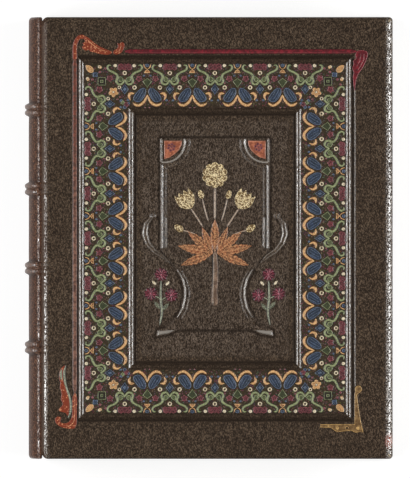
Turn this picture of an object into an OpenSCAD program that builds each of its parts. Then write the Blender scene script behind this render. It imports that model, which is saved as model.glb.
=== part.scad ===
/* [Book] */
// Height of the covers, head to tail
cover_h = 300; // [280:1:320]
// Width from the raised bands to the fore-edge
book_w = 250; // [235:1:265]
// Thickness over the two covers, without the relief
book_t = 44; // [40:1:52]

/* [Covers] */
// Thickness of a board
board_t = 3.7; // [3.2:0.1:4.5]
// Thickness of the covering leather
leather_t = 0.8; // [0.6:0.1:1]
// Width of the rounding along head, tail and fore-edge of a cover
cushion_w = 7; // [4:0.1:8]
// Width of the rounding along the joint
joint_w = 4.5; // [3:0.1:6]
// Height of these roundings
cushion_h = 3.4; // [2.4:0.1:3.6]
// Radius of the outer cover corners, seen from above
corner_r = 2.6; // [2:0.1:5]
// Cut across the board corners next to the spine
back_corner = 2.4; // [1.5:0.1:4]
// Width of the leather turned in inside a cover
turn_in_w = 14; // [10:1:20]
// Thickness of the pared turn-in
turn_in_t = 0.5; // [0.4:0.1:0.8]
// Depth that the cover leather reaches down into the joint below its rounding
joint_lip = 0.4; // [0.2:0.1:0.6]
// Gap between spine leather and cover leather in the joint
joint_gap = 0.4; // [0.3:0.05:0.8]

/* [Leaves] */
// How far the covers reach past the leaves
square_w = 3.5; // [2.5:0.5:6]
// Hollow of the fore-edge
fore_edge_hollow = 5; // [2:0.5:8]
// Thickness of an endpaper
paper_t = 0.3; // [0.2:0.05:0.4]
// Gap between a paste-down and the paste-down side of the free endpaper
paper_gap = 0.1; // [0.1:0.05:0.3]
// Gap round a paste-down inside its turn-ins
paste_gap = 0.15; // [0.1:0.05:0.5]

/* [Spine] */
// How far the rounded back stands out from the joint
spine_round = 9.3; // [8:0.1:11]
// How far the back's leather lies below the faces of the covers at the joint
joint_sink = 1.8; // [1.4:0.1:2.2]
// Thickness of the linings between the bands
lining_t = 0.4; // [0.3:0.1:0.6]
// Thickness of a sewing cord
cord_d = 3.1; // [2.8:0.1:3.4]
// Distance between the two cords of a band
cord_pitch = 4.2; // [4:0.1:4.6]
// Distance between the raised bands
band_pitch = 53.8; // [50:0.2:56]
// Distance of the middle of the four bands above the middle of the back
band_shift = 6.4; // [0:0.2:8]
// Half the angle of the back that the bands stand at full height
band_full_angle = 55; // [40:1:65]
// Part of a band's height that is left at the joint
band_end = 0.25; // [0.1:0.05:0.3]
// Fall of the caps at head and tail
cap_fall = 2; // [1:0.1:2.5]
// Height of a headband
headband_h = 2.4; // [1.8:0.1:2.6]
// Reach of a headband over the leaves
headband_w = 2.4; // [1.6:0.1:3]

/* [Laced slips] */
// Width of a cord end laced into a board
slip_w = 2.8; // [2.4:0.1:3.2]
// Depth of the channel for it
slip_depth = 1.2; // [0.8:0.1:1.6]
// Height that it stands above the front board at the joint
slip_rise = 0.5; // [0.3:0.1:0.6]
// Distance of its hole from the joint
slip_reach = 12; // [9:0.5:16]
// Diameter of the hole
slip_hole_d = 2; // [1.6:0.1:2.4]
// Length of the frayed end
slip_fan = 9; // [6:0.5:12]

/* [Frame] */
// Margin between joint and frame
margin_joint = 24.9; // [22:0.1:28]
// Margin between frame and fore-edge
margin_fore = 28.3; // [25:0.1:32]
// Margin above the frame
margin_head = 27.8; // [24:0.1:32]
// Margin below the frame
margin_tail = 27.2; // [24:0.1:32]
// Width of the whole frame rail
rail_w = 37.3; // [35:0.1:40]
// Width of a bead
bead_w = 3.6; // [2.4:0.1:4]
// Height of a bead
bead_rise = 1.5; // [0.9:0.1:2]
// Height of the frame between its beads
band_rise = 0.6; // [0.3:0.1:0.8]
// Part of the rail that a corner of the border pattern takes
pattern_corner = 31.2; // [28:0.1:34]
// Repeats of the border pattern along the head and the tail
repeats_x = 4; // [4]
// Repeats of the border pattern along the sides
repeats_y = 6; // [6]

/* [Cartouche] */
// Half the width of the cartouche between its straight sides
plaque_half = 36.6; // [34:0.1:39]
// Height of the cartouche above the panel
plaque_rise = 0.6; // [0.3:0.1:1]
// Height of its ribs, ears and feet above the panel
rib_rise = 1.5; // [1.2:0.1:2]
// Width of its ribs
rib_w = 1.6; // [1.2:0.1:2.4]
// Radius of the quarter plates in its upper corners
plate_r = 12.2; // [9:0.1:14]

/* [Onlays] */
// Thickness of a coloured leather onlay
onlay_t = 0.4; // [0.3:0.05:0.6]
// Width of the coloured fillets
fillet_w = 2.7; // [2:0.1:3.2]
// Distance between the left fillet and the frame
fillet_gap = 1.2; // [0.6:0.1:1.6]

/* [Hidden] */

leather_brown = [0.25, 0.22, 0.18];
spine_brown = [0.37, 0.29, 0.25];
board_grey = [0.62, 0.57, 0.48];
paper_cream = [0.86, 0.8, 0.66];
cord_tan = [0.72, 0.63, 0.46];
vermilion = [0.62, 0.28, 0.17];
crimson = [0.42, 0.12, 0.14];
ochre = [0.74, 0.52, 0.26];
red_brown = [0.44, 0.28, 0.23];
slate_blue = [0.2, 0.24, 0.32];
leaf_green = [0.46, 0.5, 0.32];
maroon = [0.4, 0.16, 0.18];
cream = [0.83, 0.76, 0.62];
gold = [0.84, 0.68, 0.36];
russet = [0.62, 0.33, 0.16];
stem_tan = [0.6, 0.48, 0.4];

// Heights in a cover are counted from its inner face
cover_t = turn_in_t + board_t + leather_t;
board_top = cover_t - leather_t;
half_h = cover_h / 2;
band_proud = cord_d - lining_t;
fore_x = book_w / 2;
joint_x = -fore_x + band_proud + spine_round;
inner_edge_r = 0.4;
turn_edge_r = 0.8;
corner_steps = 5;

// The back is half an ellipse, from one joint round to the other
mid_z = book_t / 2;
spine_steps = 16;
spine_angle = 90;
lining_angle = spine_angle * (spine_steps - 2) / spine_steps;
spine_end_x = joint_x - joint_gap;
back_rx = spine_round - joint_gap;
back_rz = mid_z - joint_sink;
lining_d = -leather_t;
text_d = lining_d - lining_t;

// The leaves
leaf_z0 = cover_t + paper_gap + paper_t;
leaf_z1 = book_t - leaf_z0;
leaf_x1 = fore_x - square_w;
leaf_half = half_h - square_w;
shoulder_x = spine_end_x - 0.1;
cap_t = leather_t;
cap_reach = 4;

// Raised bands, as heights across one band in parts of its full height
band_y = [for (i = [-1.5:1:1.5]) band_shift + i * band_pitch];
band_section = [
    [-cord_pitch / 2 - 2.8, 0], [-cord_pitch / 2 - 1.9, 0.43], [-cord_pitch / 2 - 1.1, 0.92],
    [-cord_pitch / 2, 1], [-cord_pitch / 2 + 1.1, 0.92], [0, 0.55], [cord_pitch / 2 - 1.1, 0.92],
    [cord_pitch / 2, 1], [cord_pitch / 2 + 1.1, 0.92], [cord_pitch / 2 + 1.9, 0.43],
    [cord_pitch / 2 + 2.8, 0]
];
cord_sides = 8;
cord_clearance = 0.2;
lining_clearance = 0.2;

// The frame and its panel
frame_x0 = joint_x + margin_joint;
frame_x1 = fore_x - margin_fore;
frame_y0 = -half_h + margin_tail;
frame_y1 = half_h - margin_head;
frame_w = frame_x1 - frame_x0;
frame_h = frame_y1 - frame_y0;
frame_cx = (frame_x0 + frame_x1) / 2;
frame_cy = (frame_y0 + frame_y1) / 2;
pitch_x = (frame_w - 2 * pattern_corner) / repeats_x;
pitch_y = (frame_h - 2 * pattern_corner) / repeats_y;
motif_pitch = 30.5;
relief_sink = 0.4;
plate_gap = 0.6;
plaque_top = 67.9;
plate_inset = 2.6;
onlay_z = cover_t;
border_z = cover_t + band_rise;
plaque_z = cover_t + plaque_rise;

// Half outlines in the cartouche, from its middle axis
plaque_waist = [
    [-plaque_half, -6.4], [-plaque_half + 1.8, -10.5], [-plaque_half + 6.5, -15.9],
    [-plaque_half + 10.6, -21.4], [-plaque_half + 14, -27.5], [-plaque_half + 15.7, -34.3],
    [-plaque_half + 15.7, -39.7], [-plaque_half + 14, -47.2], [-plaque_half + 10.6, -53.3],
    [-plaque_half + 5.9, -58.7]
];
plaque_foot = [
    [-plaque_half - 2.3, -62.4], [-plaque_half - 3, -66.2], [-plaque_half + 5.2, -64.8],
    [-plaque_half + 11.3, -61.8]
];
ear_path = [
    [-plaque_half - 6, 14.6], [-plaque_half - 10, 9.8], [-plaque_half - 11, 3.1],
    [-plaque_half - 9, -3.1], [-plaque_half - 4.6, -8.5], [-plaque_half + 1.2, -12.2],
    [-plaque_half + 5, -16]
];
ear_widths = [1.6, 3.2, 4, 3.6, 3, 2.6, 1.4];
ear_ball_r = 2.3;

// Points of an arc round c from angle a to angle b
function arc(c, r, a, b, n) =
    [for (i = [0:n]) [c[0] + r * cos(a + (b - a) * i / n), c[1] + r * sin(a + (b - a) * i / n)]];

// A point of the back in x and z at angle a from its middle, at distance d outside its leather's face
function back_point(d, a) = let (n = [-back_rz * cos(a), back_rx * sin(a)])
    [spine_end_x - back_rx * cos(a), mid_z + back_rz * sin(a)] + d * n / norm(n);
function back_arc(d, a, n = spine_steps) = [for (i = [0:n]) back_point(d, -a + 2 * a * i / n)];

// A rectangle from (a0, b0) to (a1, b1) with a quarter of an ellipse at each corner, of half axes r
function round_corner(c, r, a) = min(r) > 0 ? [for (i = [0:corner_steps]) let (b = a + 90 * i / corner_steps)
    c + [r[0] * cos(b), r[1] * sin(b)]] : [c];
function round_rect(a0, a1, b0, b1, r) = concat(
    round_corner([a0 + r[0][0], b0 + r[0][1]], r[0], 180),
    round_corner([a1 - r[1][0], b0 + r[1][1]], r[1], 270),
    round_corner([a1 - r[2][0], b1 - r[2][1]], r[2], 0),
    round_corner([a0 + r[3][0], b1 - r[3][1]], r[3], 90)
);

// Direction of a path at point i, and the point to its left at distance d
function along(p, i) = let (a = p[max(i - 1, 0)], b = p[min(i + 1, len(p) - 1)]) (b - a) / norm(b - a);
function beside(p, i, d) = let (t = along(p, i)) p[i] + d * [-t[1], t[0]];

// Outline of a strip along path p, with width w, or with one width for each point
function strip(p, w) = concat(
    [for (i = [0:len(p) - 1]) beside(p, i, -(is_list(w) ? w[i] : w) / 2)],
    [for (i = [len(p) - 1:-1:0]) beside(p, i, (is_list(w) ? w[i] : w) / 2)]
);

function mirrored(p) = concat(p, [for (i = [len(p) - 1:-1:0]) [-p[i][0], p[i][1]]]);
function flower(r, wave, petals, n) =
    [for (i = [0:n - 1]) (r + wave * cos(petals * 360 * i / n)) * [cos(360 * i / n), sin(360 * i / n)]];

// A pointed leaf of length l and width w from the origin along angle a
function leaf(l, w, a) = [
    for (q = [[0, -0.1], [0.3, -0.42], [0.55, -0.5], [0.8, -0.3], [1, 0], [0.8, 0.3], [0.55, 0.5],
        [0.3, 0.42], [0, 0.1]])
        l * q[0] * [cos(a), sin(a)] + w * q[1] * [-sin(a), cos(a)]
];
function moved(p, d) = [for (q = p) q + d];

// A prism of an x-z outline, between y0 and y1
module wall_xz(p, y0, y1) {
    translate([0, y1, 0]) rotate([90, 0, 0]) linear_extrude(y1 - y0) polygon(p);
}

// A prism of a y-z outline, between x0 and x1
module wall_yz(p, x0, x1) {
    translate([x0, 0, 0]) rotate([90, 0, 90]) linear_extrude(x1 - x0) polygon(p);
}

module block(lo, hi) {
    translate(lo) cube(hi - lo);
}

// A cover's solid at distance d inside the leather's outer face
module cover_form(d, z0, z1, low_r) {
    x0 = joint_x + d;
    x1 = fore_x - d;
    y1 = half_h - d;
    cut = back_corner;
    low = [low_r, low_r];
    edge = [cushion_w - d, cushion_h - d];
    intersection() {
        wall_xz(round_rect(x0, x1, z0, z1, [[0, 0], low, edge, [joint_w - d, cushion_h - d]]), -half_h, half_h);
        wall_yz(round_rect(-y1, y1, z0, z1, [low, low, edge, edge]), joint_x - 1, fore_x + 1);
        translate([0, 0, z0 - 1]) linear_extrude(z1 - z0 + 2) polygon(concat(
            [[x0, -y1 + cut], [x0 + cut, -y1]], arc([x1 - corner_r, -y1 + corner_r], corner_r, 270, 360, 5),
            arc([x1 - corner_r, y1 - corner_r], corner_r, 0, 90, 5), [[x0 + cut, y1], [x0, y1 - cut]]
        ));
    }
}

// A front cover piece is drawn from the cover's inner face up, a back cover piece as its mirror
module on_front() {
    translate([0, 0, book_t - cover_t]) children();
}

module on_back() {
    translate([0, 0, cover_t]) mirror([0, 0, 1]) children();
}

// The cord ends of all bands, laced into a board
module slips(rise) {
    x0 = joint_x + leather_t;
    x1 = joint_x + slip_reach;
    for (y = band_y, s = [-1, 1]) {
        yc = y + s * cord_pitch / 2;
        wall_xz([
            [x0, board_top - cushion_h], [joint_x + joint_w, board_top - slip_depth],
            [x1, board_top - slip_depth], [x1, board_top], [joint_x + joint_w, board_top + rise],
            [joint_x + joint_w * 0.6, board_top + rise - cushion_h * 0.15],
            [joint_x + joint_w * 0.3, board_top + rise - cushion_h * 0.4],
            [x0, board_top - cushion_h * 0.6]
        ], yc - slip_w / 2, yc + slip_w / 2);
        translate([x1, yc, turn_in_t]) cylinder(h = board_top - turn_in_t, d = slip_hole_d, $fn = 24);
        translate([0, 0, turn_in_t]) linear_extrude(paper_t) polygon([
            [x1, yc - slip_hole_d / 2], [x1 + slip_fan, yc + s * cord_pitch / 4 - slip_w * 0.6],
            [x1 + slip_fan * 1.1, yc + s * cord_pitch / 4],
            [x1 + slip_fan, yc + s * cord_pitch / 4 + slip_w * 0.6], [x1, yc + slip_hole_d / 2]
        ]);
    }
}

module board(rise) {
    difference() {
        cover_form(leather_t, turn_in_t, board_top, inner_edge_r);
        slips(rise);
    }
}

// The leather over the outer face and edges of a board and over its cord ends, turned in on three sides
module cover_skin(rise) {
    difference() {
        union() {
            cover_form(0, 0, cover_t, turn_edge_r);
            children();
        }
        cover_form(leather_t, turn_in_t, board_top, inner_edge_r);
        slips(rise);
        block(
            [joint_x - 1, -half_h + turn_in_w, -1],
            [fore_x - turn_in_w, half_h - turn_in_w, turn_in_t]
        );
        block([joint_x - 1, -half_h - 1, -1], [joint_x + leather_t, half_h + 1, cover_t - cushion_h - joint_lip]);
    }
}

module pastedown() {
    block(
        [joint_x + leather_t, -half_h + turn_in_w + paste_gap, turn_in_t - paper_t],
        [fore_x - turn_in_w - paste_gap, half_h - turn_in_w - paste_gap, turn_in_t]
    );
}

// A rectangle with sloping sides that rises from the cover, w by h
function slope(w, t, rise) = [
    [-w / 2, -relief_sink], [w / 2, -relief_sink], [w / 2, 0], [w / 2 - 0.12 * t, 0.6 * rise],
    [w / 2 - 0.35 * t, rise], [-w / 2 + 0.35 * t, rise], [-w / 2 + 0.12 * t, 0.6 * rise], [-w / 2, 0]
];

function pit(w, t, rise) = [
    [-w / 2, -relief_sink - 1], [w / 2, -relief_sink - 1], [w / 2, 0], [w / 2 + 0.12 * t, 0.6 * rise],
    [w / 2 + 0.35 * t, rise], [w / 2 + 0.35 * t, rise + 1], [-w / 2 - 0.35 * t, rise + 1],
    [-w / 2 - 0.35 * t, rise], [-w / 2 - 0.12 * t, 0.6 * rise], [-w / 2, 0]
];

// A rounded bead round a rectangle w by h, measured outside
module bead(w, h, t, rise) {
    difference() {
        intersection() {
            wall_xz(slope(w, t, rise), -h / 2, h / 2);
            wall_yz(slope(h, t, rise), -w / 2, w / 2);
        }
        intersection() {
            wall_xz(pit(w - 2 * t, t, rise), -h / 2, h / 2);
            wall_yz(pit(h - 2 * t, t, rise), -w / 2, w / 2);
        }
    }
}

module frame_relief() {
    translate([frame_cx, frame_cy, cover_t]) {
        bead(frame_w, frame_h, bead_w, bead_rise);
        bead(frame_w - 2 * rail_w + 2 * bead_w, frame_h - 2 * rail_w + 2 * bead_w, bead_w, bead_rise);
        translate([0, 0, -relief_sink]) linear_extrude(relief_sink + band_rise) difference() {
            square([frame_w - bead_w, frame_h - bead_w], center = true);
            square([frame_w - 2 * rail_w + bead_w, frame_h - 2 * rail_w + bead_w], center = true);
        }
    }
}

// Draws its children on the left half of the cartouche and again on the right half
module both_halves() {
    children();
    mirror([1, 0, 0]) children();
}

module raised(h) {
    translate([0, 0, -relief_sink]) linear_extrude(h + relief_sink) children();
}

module cartouche_relief() {
    plate_c = [-plaque_half + plate_inset, plaque_top - plate_inset];
    translate([frame_cx, frame_cy, cover_t]) {
        raised(plaque_rise) polygon(mirrored(concat([[-plaque_half, plaque_top]], plaque_waist, plaque_foot)));
        both_halves() {
            raised(rib_rise) polygon(strip(ear_path, ear_widths));
            raised(rib_rise) translate(ear_path[0] + [0.6, 1]) circle(r = ear_ball_r, $fn = 20);
            raised(rib_rise) polygon(plaque_foot);
            raised(rib_rise) polygon(strip(
                [for (i = [3:8]) plaque_waist[i] + [rib_w / 2, 0]], [0.8, rib_w, rib_w, rib_w, rib_w, 0.8]
            ));
            raised(rib_rise) translate([-plaque_half, -6]) square([rib_w, 56]);
            raised(rib_rise) translate([-plaque_half + rib_w, -6]) square([2, 20]);
            raised(rib_rise) translate([-plaque_half, plaque_top - plate_r - 2 * plate_inset])
                square([plate_inset - plate_gap, plate_r + 2 * plate_inset]);
            raised(rib_rise) polygon(concat(
                arc(plate_c, plate_r + plate_gap, 270, 360, 10), arc(plate_c, plate_r + plate_gap + rib_w, 360, 270, 10)
            ));
        }
    }
}

// The leather's swell over the laced cord ends
module slip_swell() {
    x1 = joint_x + slip_reach + 1;
    for (y = band_y, s = [-1, 1]) {
        yc = y + s * cord_pitch / 2;
        intersection() {
            wall_xz([
                [joint_x + 0.3, cover_t - cushion_h], [x1, cover_t - leather_t / 2], [x1, cover_t],
                [joint_x + joint_w * 0.9, cover_t + slip_rise],
                [joint_x + joint_w * 0.55, cover_t + slip_rise - cushion_h * 0.12],
                [joint_x + joint_w * 0.3, cover_t + slip_rise - cushion_h * 0.3],
                [joint_x + 0.3, cover_t - cushion_h * 0.5]
            ], yc - cord_pitch / 2, yc + cord_pitch / 2);
            translate([0, 0, -1]) linear_extrude(cover_t + 4) polygon([
                [joint_x, yc - cord_pitch / 2 + 0.05], [x1 - 3, yc - slip_w / 2], [x1, yc - 0.4],
                [x1, yc + 0.4], [x1 - 3, yc + slip_w / 2], [joint_x, yc + cord_pitch / 2 - 0.05]
            ]);
        }
    }
}

module front_leather() {
    color(leather_brown) on_front() cover_skin(slip_rise) {
        slip_swell();
        frame_relief();
        cartouche_relief();
    }
}

module back_leather() {
    color(leather_brown) on_back() cover_skin(0);
}

module front_board() {
    color(board_grey) on_front() board(slip_rise);
}

module back_board() {
    color(board_grey) on_back() board(0);
}

module front_slips() {
    color(cord_tan) on_front() slips(slip_rise);
}

module back_slips() {
    color(cord_tan) on_back() slips(0);
}

module front_pastedown() {
    color(paper_cream) on_front() pastedown();
}

module back_pastedown() {
    color(paper_cream) on_back() pastedown();
}

// The leaves as one solid, backed to a round with a shoulder for each board
module text_block() {
    tip = back_arc(text_d, spine_angle);
    rise = leaf_z1 - leaf_z0;
    hollow_r = (rise * rise / 4 + fore_edge_hollow * fore_edge_hollow) / (2 * fore_edge_hollow);
    hollow_a = asin(rise / 2 / hollow_r);
    color(paper_cream) translate([0, leaf_half, 0]) rotate([90, 0, 0]) linear_extrude(2 * leaf_half)
        difference() {
            polygon(concat(tip, [[leaf_x1, tip[spine_steps][1]]],
                arc([leaf_x1 - fore_edge_hollow + hollow_r, mid_z], hollow_r, 180 - hollow_a, 180 + hollow_a, 10),
                [[leaf_x1, tip[0][1]]]));
            translate([shoulder_x, leaf_z1]) square([book_w, book_t]);
            translate([shoulder_x, leaf_z0 - book_t]) square([book_w, book_t]);
        }
}

module front_flyleaf() {
    color(paper_cream) block([shoulder_x, -leaf_half, leaf_z1], [leaf_x1, leaf_half, leaf_z1 + paper_t]);
}

module back_flyleaf() {
    color(paper_cream) block([shoulder_x, -leaf_half, leaf_z0 - paper_t], [leaf_x1, leaf_half, leaf_z0]);
}

// Linings glued to the back between the bands
module spine_linings() {
    reach = cord_pitch / 2 + cord_d / 2 + lining_clearance;
    ends = concat([-leaf_half - reach], band_y, [leaf_half + reach]);
    section = concat(
        back_arc(lining_d, lining_angle, spine_steps - 2),
        [for (i = [spine_steps - 2:-1:0]) back_arc(text_d, lining_angle, spine_steps - 2)[i]]
    );
    color(paper_cream) for (i = [0:len(ends) - 2]) wall_xz(section, ends[i] + reach, ends[i + 1] - reach);
}

// A bar round the back, from one list of points [distance outside the leather's face, y] for each angle
module back_sweep(rings, a) {
    n = len(rings) - 1;
    k = len(rings[0]);
    polyhedron(
        [for (i = [0:n], q = rings[i]) let (p = back_point(q[0], -a + 2 * a * i / n)) [p[0], q[1], p[1]]],
        concat(
            [[for (j = [0:k - 1]) j]],
            [for (i = [0:n - 1], j = [0:k - 1])
                each [[i * k + j, (i + 1) * k + j, i * k + (j + 1) % k],
                    [i * k + (j + 1) % k, (i + 1) * k + j, (i + 1) * k + (j + 1) % k]]],
            [[for (j = [k - 1:-1:0]) n * k + j]]
        )
    );
}

// A worked headband on the head end of the leaves
module endband() {
    r = headband_w / 2;
    section = concat(
        [[text_d - headband_w, leaf_half]], arc([text_d - r, leaf_half + headband_h - r], r, 180, 0, 6),
        [[text_d, leaf_half]]
    );
    back_sweep([for (i = [0:spine_steps]) section], lining_angle);
}

module headband() {
    color(crimson) endband();
}

module tailband() {
    color(crimson) mirror([0, 1, 0]) endband();
}

// Height of a band at angle a from the middle of the back, in parts of its full height
function band_taper(a) = let (t = max(0, (abs(a) - band_full_angle) / (spine_angle - band_full_angle)))
    1 - (1 - band_end) * t * t * (3 - 2 * t);

// A pair of sewing cords round the back, thinned towards the joints
module sewing_cord(y) {
    n = spine_steps - 2;
    for (s = [-1, 1]) back_sweep([for (i = [0:n])
        let (h = lining_t + band_proud * band_taper(-lining_angle + 2 * lining_angle * i / n) - cord_clearance)
        [for (j = [0:cord_sides - 1]) let (b = (j + 0.5) * 360 / cord_sides)
            [text_d + h / 2 + h / 2 * sin(b) / cos(180 / cord_sides), y + s * cord_pitch / 2 + cord_d / 2 * cos(b)]]
    ], lining_angle);
}

module sewing_cord_1() {
    color(cord_tan) sewing_cord(band_y[0]);
}

module sewing_cord_2() {
    color(cord_tan) sewing_cord(band_y[1]);
}

module sewing_cord_3() {
    color(cord_tan) sewing_cord(band_y[2]);
}

module sewing_cord_4() {
    color(cord_tan) sewing_cord(band_y[3]);
}

// The leather of the back, moulded over the cords, with a cap at head and tail
module spine_leather() {
    rows = concat(
        [[-half_h, -cap_fall], [-half_h + 0.8, -cap_fall * 0.4], [-half_h + 2.4, 0]],
        [for (y = band_y) each [for (q = band_section) [y + q[0], q[1] * band_proud]]],
        [[half_h - 2.4, 0], [half_h - 0.8, -cap_fall * 0.4], [half_h, -cap_fall]]
    );
    m = spine_steps + 1;
    n = len(rows);
    function skin(d) = [for (q = rows, i = [0:spine_steps])
        let (a = -spine_angle + 2 * spine_angle * i / spine_steps, h = q[1] > 0 ? q[1] * band_taper(a) : q[1],
            p = back_point(d + h, a))
        [p[0], q[0], p[1]]];
    function quad(a, b, c, d) = [[a, c, b], [a, d, c]];
    inner = m * n;
    color(spine_brown) union() {
        polyhedron(concat(skin(0), skin(lining_d)), concat(
            [for (j = [0:n - 2], i = [0:spine_steps - 1])
                each quad(j * m + i, j * m + i + 1, (j + 1) * m + i + 1, (j + 1) * m + i)],
            [for (j = [0:n - 2], i = [0:spine_steps - 1])
                each quad(inner + (j + 1) * m + i, inner + (j + 1) * m + i + 1, inner + j * m + i + 1,
                    inner + j * m + i)],
            [for (i = [0:spine_steps - 1]) each quad(inner + i, inner + i + 1, i + 1, i)],
            [for (i = [0:spine_steps - 1]) let (e = (n - 1) * m)
                each quad(e + i, e + i + 1, inner + e + i + 1, inner + e + i)],
            [for (j = [0:n - 2]) each quad(j * m, (j + 1) * m, inner + (j + 1) * m, inner + j * m)],
            [for (j = [0:n - 2]) let (e = spine_steps)
                each quad(inner + j * m + e, inner + (j + 1) * m + e, (j + 1) * m + e, j * m + e)]
        ));
        for (y = [-half_h, half_h - cap_t]) wall_xz(concat(
            back_arc(lining_d - cap_fall + leather_t / 2, lining_angle),
            [for (i = [spine_steps:-1:0])
                let (a = -lining_angle + 2 * lining_angle * i / spine_steps, t = cap_fall + cap_reach)
                [spine_end_x - (back_rx - t) * cos(a), mid_z + (back_rz - t) * sin(a)]]
        ), y, y + cap_t);
    }
}

// A coloured onlay on the front cover, at height z in the cover
module onlay(z) {
    on_front() translate([0, 0, z]) linear_extrude(onlay_t) children();
}

module fillet_left() {
    x1 = frame_x0 - fillet_gap;
    color(red_brown) onlay(onlay_z) translate([x1 - fillet_w, frame_y0 + 17.2])
        square([fillet_w, frame_h - 17.2]);
}

module fillet_top() {
    color(crimson) onlay(onlay_z) translate([frame_x0 + 31.2, frame_y1 + 3])
        square([frame_w - 31.2 + 3.2, fillet_w]);
}

// The scroll rises from the left fillet and runs along the head of the frame
module scroll_top_left() {
    c = -fillet_gap - fillet_w / 2;
    color(vermilion) onlay(onlay_z) translate([frame_x0, frame_y1]) {
        polygon(strip(
            [[c, 0.1], [c + 0.1, 8.8], [-0.9, 12.6], [1.7, 14.5], [4.4, 13.6], [6.6, 11.2], [9.5, 7.9],
                [13.1, 5.5], [17.3, 4.3], [21.5, 3.9]],
            [2.7, 2.7, 2.6, 2.6, 3.2, 5, 5.2, 4.2, 3, 1.4]
        ));
        polygon(strip([[22.4, 3.9], [25.1, 4.3], [27.7, 5.8], [29.1, 8], [28.3, 10]], [1.2, 2.6, 3.4, 3.2, 1.8]));
    }
}

module leaf_bottom_left() {
    c = -fillet_gap - fillet_w / 2;
    color(vermilion) onlay(onlay_z) translate([frame_x0, frame_y0]) {
        polygon(strip(
            [[c, 17.1], [c, 6], [-3.6, -0.4], [-6.4, -4], [-10.2, -5.2], [-13.2, -3.3], [-14.5, 0.3]],
            [2.6, 2.6, 3.2, 3.8, 3.4, 3.4, 2.2]
        ));
        polygon([
            [-6.8, 2.7], [-5.4, 5.4], [-5.2, 14.3], [-7, 19.4], [-9, 24.6], [-9.6, 30.8], [-9.7, 36],
            [-12.9, 33.9], [-13.6, 27.8], [-12.7, 22.4], [-11.7, 16.5], [-11.1, 12.2], [-13.8, 6.1],
            [-11.2, 5.3], [-8.6, 1.6]
        ]);
    }
}

module drop_top_right() {
    color(crimson) onlay(onlay_z) translate([frame_x1, frame_y1]) polygon([
        [6.2, 5.6], [9.6, 5.1], [11.1, 3.2], [11.1, 0.7], [8.9, -3.9], [5.8, -8.4], [3.7, -12.9],
        [2.9, -18.1], [1.9, -22.7], [1.3, -14.9], [1, -5.4], [2.8, -1.1], [4, 2.7]
    ]);
}

module corner_bottom_right() {
    color(ochre) onlay(onlay_z) translate([frame_x1, frame_y0]) difference() {
        polygon(concat(
            [[2.2, -3.05], [2.2, 17.6]], arc([4.5, 20.3], 2.3, 220, -60, 8),
            [[5, 17], [5.1, 8.1], [6.1, -0.5], [8.3, -9.5], [3.1, -9.4], [-0.7, -8.5], [-4.75, -8.5],
                [-9.1, -9.1], [-12.1, -7.9], [-13.8, -6.1], [-20.8, -4.4], [-20.8, -3.2]]
        ));
        translate([-2.8, -6.9]) circle(r = 1.2, $fn = 16);
    }
}

module corner_plate(s) {
    color(vermilion) onlay(plaque_z) translate([frame_cx, frame_cy]) mirror([s > 0 ? 1 : 0, 0]) difference() {
        polygon(concat([[-plaque_half + plate_inset, plaque_top - plate_inset]],
            arc([-plaque_half + plate_inset, plaque_top - plate_inset], plate_r, 270, 360, 8)));
        translate([-plaque_half + plate_inset + 4.8, plaque_top - plate_inset - 4.9]) difference() {
            circle(r = 2.6, $fn = 16);
            circle(r = 1.3, $fn = 16);
        }
    }
}

module corner_plate_left() {
    corner_plate(-1);
}

module corner_plate_right() {
    corner_plate(1);
}

// Places its children along one run of the border, x along the run and y outwards
module run(length, pitch, count, shift) {
    k = pitch / motif_pitch;
    for (i = [0:count - 1]) translate([(i - (count - 1) / 2) * pitch, shift]) scale([k, k]) children();
}

// Draws its children along all four sides, with one more copy for a motif between the repeats
module border(extra) {
    translate([frame_cx, frame_cy]) for (s = [0, 180]) {
        rotate(s) run(frame_w, pitch_x, repeats_x + extra, frame_h / 2) children();
        rotate(s + 90) run(frame_h, pitch_y, repeats_y + extra, frame_w / 2) children();
    }
}

// Draws its children in each corner of the border, x and y inwards from the frame's corner
module border_corners() {
    translate([frame_cx, frame_cy]) for (x = [0, 1], y = [0, 1]) mirror([x, 0]) mirror([0, y])
        translate([-frame_w / 2, -frame_h / 2]) children();
}

// Draws its children once more with x and y swapped
module swapped() {
    children();
    mirror([1, -1]) children();
}

module border_onlay() {
    onlay(border_z) children();
}

// Two arcs that meet in a cusp, and two hooks beside them
module border_ochre() {
    color(ochre) border_onlay() border(0) {
        polygon(mirrored([
            [-0.01, -24.3], [-2, -28.2], [-4, -30.4], [-6.1, -31.2], [-8.6, -29.7], [-9.5, -30.4],
            [-8.2, -31.9], [-6.2, -32.5], [-3.6, -31.5], [-1.5, -29.2], [-0.01, -26.4]
        ]));
        both_halves() polygon(strip([[-12.3, -28], [-11.9, -25.2], [-10.5, -23.4], [-8.9, -24.3]], [0.7, 1.3, 1.3, 0.8]));
        translate([-2.6, -10.4]) square([5.2, 1.4]);
    }
    color(ochre) border_onlay() border_corners() {
        polygon(moved(leaf(5.6, 3.8, 45), [5.4, 5.4]));
        translate([23.5, 23.5]) polygon(flower(2.5, 0.8, 5, 20));
    }
}

// Lobes behind the arcs, and lozenges between the repeats
module border_blue() {
    color(slate_blue) border_onlay() {
        border(0) both_halves() polygon([
            [-2.6, -20.3], [-1, -23.6], [-2.8, -27.4], [-5.2, -29.6], [-8.6, -29], [-8.2, -25.6], [-5.2, -21.6]
        ]);
        border(0) translate([0, -5.3]) circle(r = 1.3, $fn = 6);
        border(1) polygon([[0, -17.6], [-2.4, -20.6], [0, -24.9], [2.4, -20.6]]);
        border_corners() translate([11.2, 11.2]) circle(r = 1.4, $fn = 6);
    }
}

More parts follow.
